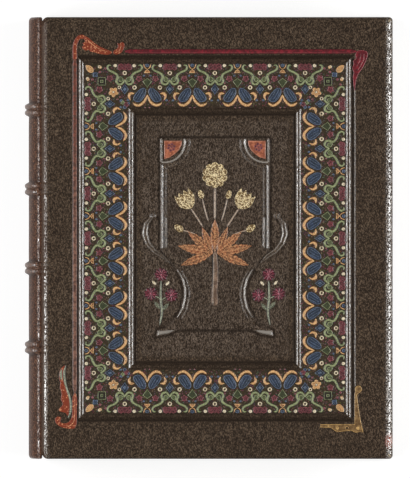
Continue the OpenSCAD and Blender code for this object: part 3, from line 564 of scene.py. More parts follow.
def insidePath(x, y, path):
    hit = np.zeros(x.shape, bool)
    for p, q in zip(path, path[1:] + path[:1]):
        if p[1] != q[1]:
            cross = (p[1] > y) != (q[1] > y)
            hit ^= cross & (x < (q[0] - p[0]) * (y - p[1]) / (q[1] - p[1]) + p[0])
    return hit


cartouche = {
    "half": 36.6, "top": 67.9, "rise": 0.6, "ribRise": 1.5, "rib": 1.6, "plateR": 12.2, "plateInset": 2.6,
    "waist": [(0, -6.4), (1.8, -10.5), (6.5, -15.9), (10.6, -21.4), (14, -27.5), (15.7, -34.3), (15.7, -39.7),
              (14, -47.2), (10.6, -53.3), (5.9, -58.7)],
    "foot": [(-2.3, -62.4), (-3, -66.2), (5.2, -64.8), (11.3, -61.8)],
    "ear": [(-6, 14.6), (-10, 9.8), (-11, 3.1), (-9, -3.1), (-4.6, -8.5), (1.2, -12.2), (5, -16)],
    "earWidth": [1.6, 3.2, 4, 3.6, 3, 2.6, 1.4], "ball": 2.3,
}


def rib(x, y, path, widths, rise):  # a rounded rib along a path
    d, along = segmentNearest(x, y, path)
    half = np.interp(along, range(len(path)), widths) / 2 if isinstance(widths, (list, tuple)) else widths / 2
    t = np.clip(1 - (d / half) ** 2, 0, 1)
    return rise * np.sqrt(t), t


def around(cx, cy, r, degrees):  # points of a circle
    return [(cx + r * math.cos(math.radians(a)), cy + r * math.sin(math.radians(a))) for a in degrees]


def cartoucheRelief(x, y):  # x and y from the middle of the panel
    c = cartouche
    side = np.where(x > 0, 1, -1)
    x = -np.abs(x)
    h = c["half"]
    waist = [(-h + p, q) for p, q in c["waist"]]
    foot = [(-h + p, q) for p, q in c["foot"]]
    outline = [(0, c["top"]), (-h, c["top"])] + waist + foot + [(0, foot[-1][1])]
    d, _ = segmentNearest(x, y, outline)
    s = np.where(insidePath(x, y, outline), d, -d)
    z = c["rise"] * smoothOver((s + 0.55) / 1.1)
    # a dark band in and beside the groove round the raised plaque, darkest along its top and bottom edges: painted
    # shadow
    level = (y > c["top"] - 2) | (y < -60)
    groove = bell(s + 0.9, 1.0)
    tone = np.where(level, -1.0, -0.6) * groove
    z = z - 0.45 * groove * level
    ribs = [  # path, width, rise, and how much painted highlight it takes on the left and on the right
        ([(-h + 0.6, 49.8), (-h + 0.6, -6.6)], 1.7, c["ribRise"], 0.9, 0.9),
        ([(-h + 3.5, 48.5), (-h + 3.5, 16)], 0.8, 1.0, 0.25, 0.9),
        ([(-h + 3.3, 14), (-h + 3.4, -6)], 1.7, c["ribRise"] - 0.1, 0.55, 0.85),
        ([(-h + 0.2, c["top"] - 0.2), (-h + 0.2, c["top"] - c["plateR"] - 3.4)], 1.5, c["ribRise"], 0.95, 0.95),
        ([(-h + 14, c["top"] - 0.5), (0, c["top"] - 0.5)], 1.1, 0.9, 0.1, 0.1),
        ([(-h + p[0] + c["rib"] / 2, p[1]) for p in c["waist"][3:9]],
         [0.8, 1.6, 1.6, 1.6, 1.6, 0.8], c["ribRise"], 1.0, 1.0),
        ([(-h + p[0] + 3.4, p[1] * 1.01 - 0.4) for p in c["waist"][3:9]],
         [0.5, 0.9, 0.9, 0.9, 0.9, 0.5], 1.0, 0.95, 0.95),
    ]
    corner, plateArc = (-h + c["plateInset"], c["top"] - c["plateInset"]), np.linspace(262, 368, 21)
    ribs.append((around(*corner, c["plateR"] + 1.4, plateArc), 1.7, c["ribRise"], 1.0, 1.0))
    ribs.append((around(*corner, c["plateR"] + 4.7, plateArc), 1.0, 1.0, 0.9, 0.9))

    def highlightOver(tone, where, glossAndHighlight):  # painted highlights on the crests lie over the tooled lines and painted shade
        return np.where(where, np.maximum(tone, glossAndHighlight), tone)

    for path, width, rise, left, right in ribs:
        r, t = rib(x, y, path, width, rise)
        z = np.maximum(z, r)
        tone = highlightOver(tone, t > 0, np.where(side < 0, left, right) * np.interp(t, [0, 0.12, 0.4, 1], [0, 0.4, 1, 1]))
    # the left strap takes a painted highlight, the right one little
    strap = smoothOver((x + h - 0.2) / 0.6) * smoothOver((4.6 - h - x) / 0.6) * smoothOver(50 - y) * smoothOver(y + 6.8)
    tone = highlightOver(tone, strap > 0.01, np.where(side < 0, 0.45, 0.1) * strap)
    ear = [(-h + p, q) for p, q in c["ear"]]
    ball = [(ear[0][0] + k, ear[0][1] + 1) for k in (0.6, 0.7)]
    # ear and ball take painted highlights along their crests
    for path, width, stops, glossAndHighlight in ((ear, c["earWidth"], [0, 0.1, 0.3, 0.75, 1], [0, 0.7, 1.0, 1.0, 0.2]),
                                      (ball, 2 * c["ball"], [0, 0.1, 0.5, 0.8, 1], [0, 1, 0.8, 0.3, 0.9])):
        r, t = rib(x, y, path, width, c["ribRise"])
        z = np.maximum(z, r)
        tone = highlightOver(tone, t > 0, np.interp(t, stops, glossAndHighlight))
    # the foot paler as it rises: painted highlight
    d, _ = segmentNearest(x, y, foot + foot[:1])
    s = np.where(insidePath(x, y, foot), d, -d)
    z = np.maximum(z, c["ribRise"] * smoothOver((s + 0.1) / 1.3))
    return z, highlightOver(tone, s > -0.3, smoothOver((s + 0.3) / 0.7))


def buildFrontPanel():
    (cx, cy), (wide, high) = rail["centre"], rail["opening"]
    ob = addGrid("frontPanel", np.linspace(cx - wide, cx + wide, 246), np.linspace(cy - high, cy + high, 386))
    co = readPoints(ob)
    x, y = co[:, 0], co[:, 1]
    z, tone, u = frameRelief(x, y)
    z2, tone2 = cartoucheRelief(x - cx, y - cy)
    z = z + z2 + cover["uneven"] * wave(x, y, cover["waves"], 4)
    writePoints(ob, np.column_stack([x, y, cover["topZ"] + z]) * mm)
    writeTone(ob, tone + tone2)
    writeTone(ob, smoothOver((u - 41) / 3) * (0.8 + 0.2 * wave(x, y, (31, 53, 71), 2)), "sharp")
    return ob


def buildBackLeather():
    def even(v):
        return np.full_like(v, 3.0)
    ob = addGrid("backLeather", coverLines([], even, False, 8, 10), coverLines([], even, True, 10, 10))
    co = readPoints(ob)
    x, y = co[:, 0].copy(), co[:, 1].copy()
    px, py = roundCorners(x, y)
    writePoints(ob, np.column_stack([px, py, cover["topZ"] - coverDrop(x, y)]) * mm)
    # a paler band round the rounded edges: painted highlight, with some rubbed wear
    writeTone(ob, 0.5 * within(np.abs(coverEdge(x, y) - 1.6), 1, 2.2))
    turnEdges(ob)
    co = readPoints(ob)
    co[:, 2] = cover["topZ"] * mm - co[:, 2]
    writePoints(ob, co)
    ob.data.flip_normals()
    return ob


frontLeather, frontPanel = buildFrontLeather(), buildFrontPanel()
turnEdges(frontLeather)
finishMesh(frontLeather, coverLeather, "front_cover", "cover_leather", "front_leather")
finishMesh(frontPanel, coverLeather, "front_cover", "cover_leather", "front_leather")
finishMesh(buildBackLeather(), coverLeather, "back_cover", "cover_leather", "back_leather")
print("stage: covers' leather ready", len(frontLeather.data.polygons), len(frontPanel.data.polygons))

# the spine
spine = {
    "endX": -113.4, "rx": 8.9, "midZ": 22.0, "rz": 20.2, "bandProud": 2.7, "fullAngle": 55, "bandEnd": 0.25,
    "capFall": 2.0, "thick": 0.8, "uneven": 0.06,
}
bandShape = [  # half of a double cord under the leather: along the back, and how proud
    (-4.9, 0), (-4.45, 0.12), (-4.0, 0.43), (-3.6, 0.72), (-3.2, 0.91), (-2.7, 0.99), (-2.1, 1.0), (-1.5, 0.98),
    (-1.0, 0.9), (-0.5, 0.7), (0, 0.56),
]


def backPoint(d, a):  # the point of the round back at angle a, d outside it
    s = spine
    nx, nz = -s["rz"] * np.cos(a), s["rx"] * np.sin(a)
    n = np.hypot(nx, nz)
    return s["endX"] - s["rx"] * np.cos(a) + d * nx / n, s["midZ"] + s["rz"] * np.sin(a) + d * nz / n


def buildSpine():
    s = spine
    shape = np.array(bandShape + [(-p, q) for p, q in bandShape[-2::-1]])
    cap = [147.0, 147.9, 148.6, 149.2, 149.6, 149.85, 150.0]
    rows = [-v for v in cap[::-1]]
    for b in bandY:
        rows += list(np.linspace(rows[-1], b - 5.6, max(4, int((b - 5.6 - rows[-1]) / 2.2)))[1:])
        rows += list(np.linspace(b - 5.6, b + 5.6, 39)[1:])
    rows += list(np.linspace(rows[-1], cap[0], 24)[1:]) + cap[1:]
    angles = np.radians(np.linspace(-90, 90, 61))
    ob = addGrid("spineLeather", angles, rows)
    co = readPoints(ob)
    a, y = co[:, 0].copy(), co[:, 1].copy()
    deg = np.abs(np.degrees(a))
    t = np.clip((deg - s["fullAngle"]) / (90 - s["fullAngle"]), 0, 1)
    taper = 1 - (1 - s["bandEnd"]) * smoothOver(t)
    rise = np.max([np.interp(y - b, shape[:, 0], shape[:, 1], 0, 0) for b in bandY], axis=0)
    nip = np.max([bell(y - b - e, 0.7) for b in bandY for e in (-5.1, 5.1)], axis=0)  # pressed in beside each band, and darkened there as painted shade
    fall = np.clip((np.abs(y) - cap[0]) / (cap[-1] - cap[0]), 0, 1)
    d = rise * s["bandProud"] * taper - s["capFall"] * (1 - np.sqrt(1 - fall ** 2)) - 0.12 * nip
    d = d + s["uneven"] * wave(y, a * 20, (19, 31, 47), 8) * (1 - rise)
    x, z = backPoint(d, a)
    writePoints(ob, np.column_stack([x, y, z]) * mm)
    # a painted highlight along the back where the side light glances off it, and on the bands, broken along the height;
    # the leather is also smoother there
    spineSheen = bell(deg - 77, 6) * (1 - 0.6 * rise) * np.interp(y, [-150, 0, 150], [0.85, 0.8, 0.5])
    spineSheen = (spineSheen + 0.55 * rise * bell(deg - 70, 9)) * (0.85 + 0.3 * wave(y, a, (3.1, 5.3, 7.7, 13), 5))
    # the bands and caps paler from rubbing; darker in the creases beside the bands: painted shade
    writeTone(ob, 0.6 * np.clip(rise * 1.3 - 0.5, 0, 1) * (0.5 + 0.5 * taper) - 0.9 * nip + 0.5 * fall + 0.35 * spineSheen)
    writeTone(ob, 1.3 * spineSheen, "edge")
    editAll(ob, facesOut)
    thicken(ob, s["thick"])
    return ob


finishMesh(buildSpine(), spineLeather, "block", "spine_leather", "spine_leather")
print("stage: spine ready")


# papers, pulp and cord
def makePaper(name, base, dark):
    m, tree, shader = startMaterial(name, 0.8, 0.25)
    place = placeOf(tree)
    cloud = noiseAt(tree, place, 40, 5.0, 0.6)
    fox = remap(tree, noiseAt(tree, place, 7, 3.0, 0.6), 0.66, 0.78)
    fibre = noiseAt(tree, place, 0.8, 4.0, 0.7)
    colour = blendColours(tree, remap(tree, cloud, 0.35, 0.7, 0.0, 0.5), base, dark)
    colour = blendColours(tree, product(tree, fox, 0.45), colour, srgb(150, 110, 70))
    tree.links.new(colour, shader.inputs["Base Color"])
    addBump(tree, shader, fibre, 0.05)
    return m


paper = makePaper("agedPaper", srgb(222, 208, 178), srgb(196, 176, 138))
boardPulp = makePaper("boardPulp", srgb(160, 146, 120), srgb(126, 112, 90))
hemp = makePaper("hempCord", srgb(186, 164, 122), srgb(146, 122, 84))


def makeOnlay(name, base, dark, pale, bead=0.0, veined=0.0, gap=0.55, upper=None):
    m, tree, shader = startMaterial(name, 0.34, 0.5)
    flat = placeOf(tree)
    cells = remap(tree, cellsAt(tree, flat, 1.0), 0.0, 0.25)
    cloud = noiseAt(tree, flat, 2.2, 3.0, 0.65)
    if upper:  # redder towards the head
        y = addNode(tree, 'ShaderNodeSeparateXYZ', {0: flat}).outputs[1]
        base = blendColours(tree, remap(tree, y, 0.0, 0.11), base, upper)
    colour = blendColours(tree, remap(tree, cloud, 0.42, 0.62), dark, base)
    height = product(tree, cells, 0.4)
    if bead:  # small punched beads over the whole inlay, dark between them as painted shade and pale on their tops as painted highlight
        beads = remap(tree, cellsAt(tree, flat, bead, 'F1'), gap, gap - 0.4)
        height = maths(tree, 'ADD', height, beads)
        colour = blendColours(tree, beads, dark, colour)
        colour = blendColours(tree, product(tree, remap(tree, beads, 0.5, 1.0), 0.8), colour, pale)
    if veined:
        veins = remap(tree, cellsAt(tree, flat, veined), 0.1, 0.02)
        colour = blendColours(tree, product(tree, veins, 0.7), colour, pale)
    tone = toneOf(tree)
    # pale on the raised rims and crests: painted highlight, with some rubbed wear
    paleWearAndSheen = noiseAt(tree, flat, 0.9, 2.0, 0.5)
    paleWearAndSheen = product(tree, remap(tree, tone, 0.15, 0.95), remap(tree, paleWearAndSheen, 0.36, 0.6, 0.2, 1.0))
    colour = blendColours(tree, paleWearAndSheen, colour, pale)
    # darker below 0: the tooled outline round each inlay, and painted shade at its foot
    colour = blendColours(tree, remap(tree, tone, -0.1, -0.5, 0.0, 0.75), colour, dark)
    colour = blendColours(tree, remap(tree, tone, -0.6, -0.95), colour, srgb(34, 27, 21))
    tree.links.new(colour, shader.inputs["Base Color"])
    addBump(tree, shader, height, 0.12 if bead else 0.05)
    tree.links.new(remap(tree, cells, 0.0, 1.0, 0.45, 0.3), shader.inputs["Roughness"])
    return m


onlayColours = {  # base, dark and pale
    "redBrown": ((134, 96, 80), (82, 54, 44), (180, 152, 138), {"upper": srgb(128, 62, 46)}),
    "crimson": ((126, 34, 44), (84, 24, 30), (180, 116, 114), {}),
    "vermilion": ((178, 88, 46), (126, 52, 30), (216, 150, 108), {"bead": 1.5}),
    "ochre": ((176, 116, 66), (102, 58, 32), (230, 188, 134), {"veined": 1.2}),
    "blue": ((40, 56, 86), (22, 27, 36), (108, 122, 142), {"veined": 0.9}),
    "green": ((88, 96, 58), (44, 52, 32), (160, 166, 124), {"veined": 0.9}),
    "maroon": ((90, 34, 42), (50, 24, 26), (150, 90, 92), {"veined": 1.2}),
    "cream": ((186, 168, 134), (122, 100, 74), (236, 222, 192), {}),
    "gold": ((198, 168, 110), (108, 84, 50), (246, 226, 180), {"bead": 0.9, "gap": 0.74}),
    "russet": ((142, 80, 50), (74, 38, 24), (212, 158, 112), {"veined": 1.4}),
    "sage": ((96, 98, 78), (58, 62, 48), (170, 172, 146), {}),
    "tan": ((142, 112, 72), (100, 74, 44), (206, 166, 104), {}),
    "coral": ((184, 112, 82), (134, 74, 52), (228, 174, 146), {}),
    "rose": ((112, 36, 50), (66, 24, 32), (190, 116, 128), {}),
    "stem": ((146, 120, 100), (94, 74, 60), (200, 182, 162), {}),
}
onlayLeather = {name: makeOnlay(name + "Leather", srgb(*base), srgb(*dark), srgb(*pale), **more)
                for name, (base, dark, pale, more) in onlayColours.items()}

# coloured inlays
inlay = {
    "rise": 0.4,  # mm above the leather that carries it
    "outline": 0.42,  # mm of the dark tooled line round each
    "rim": 0.3,
}
borderZ, panelZ = 44.6, 44.0  # height of the leather that carries them


def lineAt(a, b, c, d, t):  # a point of the smooth line through b and c
    return 0.5 * (2 * b + (c - a) * t + (2 * a - 5 * b + 4 * c - d) * t * t + (3 * b - a - 3 * c + d) * t ** 3)


def smoothLoop(points, per=4):  # a closed smooth line through the points
    p = np.array(points, float)
    n = len(p)
    return np.array([lineAt(p[k - 1], p[k], p[(k + 1) % n], p[(k + 2) % n], i / per)
                     for k in range(n) for i in range(per)])


def smoothPath(points, count, widths):  # an open smooth line, its points evenly spread
    p = np.array([list(q) + [w] for q, w in zip(points, widths)], float)
    p = np.vstack([2 * p[0] - p[1], p, 2 * p[-1] - p[-2]])
    out = np.array([lineAt(*p[k - 1:k + 3], t) for k in range(1, len(p) - 2) for t in np.arange(0, 1, 0.1)] + [p[-2]])
    s = np.concatenate([[0], np.cumsum(np.hypot(*np.diff(out[:, :2], axis=0).T))])
    at = np.linspace(0, s[-1], count)
    return np.column_stack([np.interp(at, s, out[:, k]) for k in range(3)]), at


def crossesItself(loop):
    a, b = loop[:, None], np.roll(loop, -1, axis=0)[:, None]
    c, d = loop[None], np.roll(loop, -1, axis=0)[None]

    def side(p, q, r):
        u, v = q - p, r - p
        return u[..., 0] * v[..., 1] - u[..., 1] * v[..., 0]
    return bool(((side(a, b, c) * side(a, b, d) < 0) & (side(c, d, a) * side(c, d, b) < 0)).any())


def movedLoop(loop, d):  # a closed outline moved inwards by d, or outwards; never past the middle of a thin part
    nxt, prv = np.roll(loop, -1, axis=0), np.roll(loop, 1, axis=0)
    t = nxt - prv
    t /= np.maximum(np.hypot(t[:, 0], t[:, 1]), 1e-9)[:, None]
    normal = np.column_stack([-t[:, 1], t[:, 0]])
    if d <= 0:
        return loop + normal * d
    room = np.full(len(loop), 9e9)
    for k in range(len(loop)):
        a, b = loop, nxt
        e = b - a
        w = a - loop[k]
        det = normal[k, 0] * -e[:, 1] + normal[k, 1] * e[:, 0]
        det = np.where(np.abs(det) < 1e-9, 1e-9, det)
        s = (w[:, 0] * -e[:, 1] + w[:, 1] * e[:, 0]) / det
        q = (normal[k, 0] * w[:, 1] - normal[k, 1] * w[:, 0]) / det
        ok = (q >= 0) & (q <= 1) & (s > 1e-6)
        ok[[k, k - 1]] = False
        if ok.any():
            room[k] = s[ok].min()
    move = np.minimum(d, 0.4 * room)
    gap = np.hypot(*(nxt - loop).T)
    for _ in range(6):  # no point runs far ahead of its neighbours
        move = np.minimum(move, np.minimum(np.roll(move, -1) + 0.3 * gap, np.roll(move, 1) + 0.3 * np.roll(gap, 1)))
    for share in (1.0, 0.7, 0.45, 0.25, 0.1):
        out = loop + normal * (move * share)[:, None]
        if not crossesItself(out):
            return out
    return loop


def takeMesh(ob, tone):  # the mesh of a modelled motif, and its object removed
    faces = [tuple(p.vertices) for p in ob.data.polygons]
    out = (readPoints(ob), faces, np.asarray(tone, float))
    data = ob.data
    bpy.data.objects.remove(ob)
    bpy.data.meshes.remove(data)
    return out


def plate(outline, z0, levels=None, rise=None, body=0.0):  # a domed plate with a dark line round it
    loop = np.array(outline, float)
    area = np.sum(loop[:, 0] * np.roll(loop[:, 1], -1) - np.roll(loop[:, 0], -1) * loop[:, 1])
    if area < 0:
        loop = loop[::-1]
    rise = rise or inlay["rise"]
    levels = levels or [  # how far inwards, how high, and how lit: pale rims as painted highlight, dark feet as painted shade
        (-inlay["outline"], -0.1, -1), (-0.1, 0.07, -1), (0.0, 0.12, -0.7), (0.06, rise * 0.8, 1.0),
        (inlay["rim"], rise, 0.8), (inlay["rim"] * 2, rise * 0.88, body)]
    n = len(loop)
    pickOnly()
    bpy.ops.mesh.primitive_circle_add(vertices=n, radius=1, fill_type='NOTHING')
    ob = bpy.context.object

    def raiseRings():
        for _ in levels[1:]:
            bpy.ops.mesh.extrude_region_move(TRANSFORM_OT_translate={"value": (0, 0, 1)})
        bpy.ops.mesh.edge_face_add()
        bpy.ops.mesh.select_all(action='SELECT')

    editAll(ob, raiseRings, facesOut)
    co = readPoints(ob)
    k = np.rint(co[:, 2]).astype(int)
    j = np.rint((np.arctan2(co[:, 1], co[:, 0]) / (2 * math.pi) - 0.25) * n).astype(int) % n
    rings = np.array([movedLoop(loop, lv[0]) for lv in levels])
    height = np.array([lv[1] for lv in levels])
    co = np.column_stack([rings[k, j, 0], rings[k, j, 1], z0 + height[k]])
    writePoints(ob, co)
    return takeMesh(ob, np.array([lv[2] for lv in levels])[k])


def wholeProfile(middle, foot, footTone):  # across, how high, how lit (painted highlight above 0, painted shade below), and how far into the dark line
    left = [(-1.0, -0.1, -1, 1), (-1.0, 0.07, -1, 0.3), (-1.0, foot, footTone, 0)]
    return np.array(left + [(*m, 0) for m in middle] + [(-a, h, t, -o) for a, h, t, o in left[::-1]])


# pale on the crests, dark at the feet: painted highlight and shade; the fillet's two crests read as a double line
stripProfile = wholeProfile(
    [(-0.92, 0.7, 0.1), (-0.45, 0.97, 0.7), (0.0, 1.0, 1.0), (0.45, 0.97, 0.7), (0.92, 0.7, 0.1)], 0.12, -0.7)
filletProfile = wholeProfile(
    [(-0.82, 0.8, 0.35), (-0.4, 1.0, 0.35), (0.0, 0.88, -0.15), (0.4, 1.0, 0.2), (0.82, 0.8, 0.1)], 0.2, -0.5)


def strip(points, widths, z0, count=12, rise=None, profile=stripProfile):  # a rounded strip along a path
    rise = rise or inlay["rise"]
    if not isinstance(widths, (list, tuple)):
        widths = [widths] * len(points)
    path, at = smoothPath(points, count, widths)
    way = np.gradient(path[:, :2], axis=0)
    way /= np.hypot(way[:, 0], way[:, 1])[:, None]
    side = np.column_stack([-way[:, 1], way[:, 0]])
    half = path[:, 2] / 2
    ends = np.clip(np.minimum(at, at[-1] - at) / np.maximum(half, 0.1), 0, 1)
    half = half * np.sqrt(1 - (1 - ends) ** 2 * 0.9)
    ob = addGrid("strip", np.arange(count), np.arange(len(profile)))
    i, j = gridPlaces(readPoints(ob))
    across, high, tone, out = profile[j].T
    across = across * half[i] - out * inlay["outline"]
    high = np.where(high > 0.1, high * rise * (0.5 + 0.5 * ends[i]), high)
    past = 0.5 * inlay["outline"] * ((i == count - 1) * 1.0 - (i == 0))  # the dark line round both ends
    xy = path[i, :2] + side[i] * across[:, None] + way[i] * past[:, None]
    writePoints(ob, np.column_stack([xy, z0 + high]))
    return takeMesh(ob, tone)


def disc(cx, cy, r, z0, n=10, body=0.6):
    return plate(around(cx, cy, r, [360 * k / n for k in range(n)]), z0, body=body)


def ring(cx, cy, r, z0, n=12, hole=0.4):  # a small ring, dark inside
    thick = r * (1 - hole) / 2
    pickOnly()
    bpy.ops.mesh.primitive_torus_add(major_segments=n, minor_segments=6, major_radius=r - thick, minor_radius=thick,
                                     location=(0, 0, 0))
    ob = bpy.context.object
    co = readPoints(ob)
    high = co[:, 2] / thick
    dist = np.hypot(co[:, 0], co[:, 1])
    co = np.column_stack([co[:, 0] + cx, co[:, 1] + cy, z0 + np.where(high > 0, high * inlay["rise"], high * 0.1)])
    writePoints(ob, co)
    # its top pale, a painted highlight; its lower sides and outer foot darker, painted shade
    return takeMesh(ob, np.where(high > 0.3, 1.0, -0.2) - 0.5 * (dist > r * 0.95))


def flowerLoop(cx, cy, r, depth, petals, turn=0.0, per=6):
    out = []
    for k in range(petals * per):
        reach, a = r - depth + depth * abs(math.cos(math.pi * k / per)), 2 * math.pi * k / (petals * per) + turn
        out.append((cx + reach * math.cos(a), cy + reach * math.sin(a)))
    return out


def mirrorMotif(motif):
    co, faces, tone = motif
    return co * [-1, 1, 1], [f[::-1] for f in faces], tone


def bothSides(*motifs):
    return [m for motif in motifs for m in (motif, mirrorMotif(motif))]


def shifted(dx, dy, turn=0.0, k=1.0):  # places take a motif's points, and say if they turn it over
    c, s = math.cos(math.radians(turn)) * k, math.sin(math.radians(turn)) * k

    def place(p):
        return np.column_stack([dx + c * p[:, 0] - s * p[:, 1], dy + s * p[:, 0] + c * p[:, 1], p[:, 2]]), False
    return place


def joinMotifs(*placed):  # several motifs, each with its place, as one
    co, faces, tones, base = [], [], [], 0
    for (points, polys, tone), place in placed:
        moved, flip = place(points)
        co.append(moved)
        faces += [tuple(v + base for v in (f[::-1] if flip else f)) for f in polys]
        tones.append(tone)
        base += len(points)
    return np.vstack(co), faces, np.concatenate(tones)


def lay(name, placed, leather, slot, *nodes):  # an inlay of the front cover, from motifs and their places
    co, faces, tones = joinMotifs(*placed)
    mesh = bpy.data.meshes.new(name)
    mesh.from_pydata((co * mm).tolist(), [], faces)
    ob = bpy.data.objects.new(name, mesh)
    bpy.context.scene.collection.objects.link(ob)
    writeTone(ob, tones)
    finishMesh(ob, onlayLeather[leather], "front_cover", slot + "_onlay", *nodes)
    ob.data.polygons.foreach_set("use_smooth", [len(f) == 4 for f in faces])


def layAll(name, motifs, at, leather, slot, *nodes):  # the same, for motifs that share one place
    lay(name, [(motif, shifted(*at)) for motif in motifs], leather, slot, *nodes)


def turned(angle, centre, shift, k):
    c, s = math.cos(math.radians(angle)), math.sin(math.radians(angle))
    return shifted(centre[0] + c * shift[0] - s * shift[1], centre[1] + s * shift[0] + c * shift[1], angle, k)


def borderPlaces(extra):  # the pattern's units along the four sides, or the places between them
    fw, fh = 2 * rail["half"][0], 2 * rail["half"][1]
    px, py = (fw - 62.4) / 4, (fh - 62.4) / 6
    out = []
    for turn in (0, 180):
        for angle, count, pitch, away in ((turn, 4 + extra, px, fh / 2), (turn + 90, 6 + extra, py, fw / 2)):
            out += [turned(angle, rail["centre"], ((i - (count - 1) / 2) * pitch, away),
                           pitch / 30.5) for i in range(count)]
    return out


def cornerPlaces():
    def make(sx, sy):
        def place(p):
            return np.column_stack([rail["centre"][0] + sx * (p[:, 0] - rail["half"][0]),
                                    rail["centre"][1] + sy * (p[:, 1] - rail["half"][1]), p[:, 2]]), sx * sy < 0
        return place
    return [make(sx, sy) for sx in (1, -1) for sy in (1, -1)]


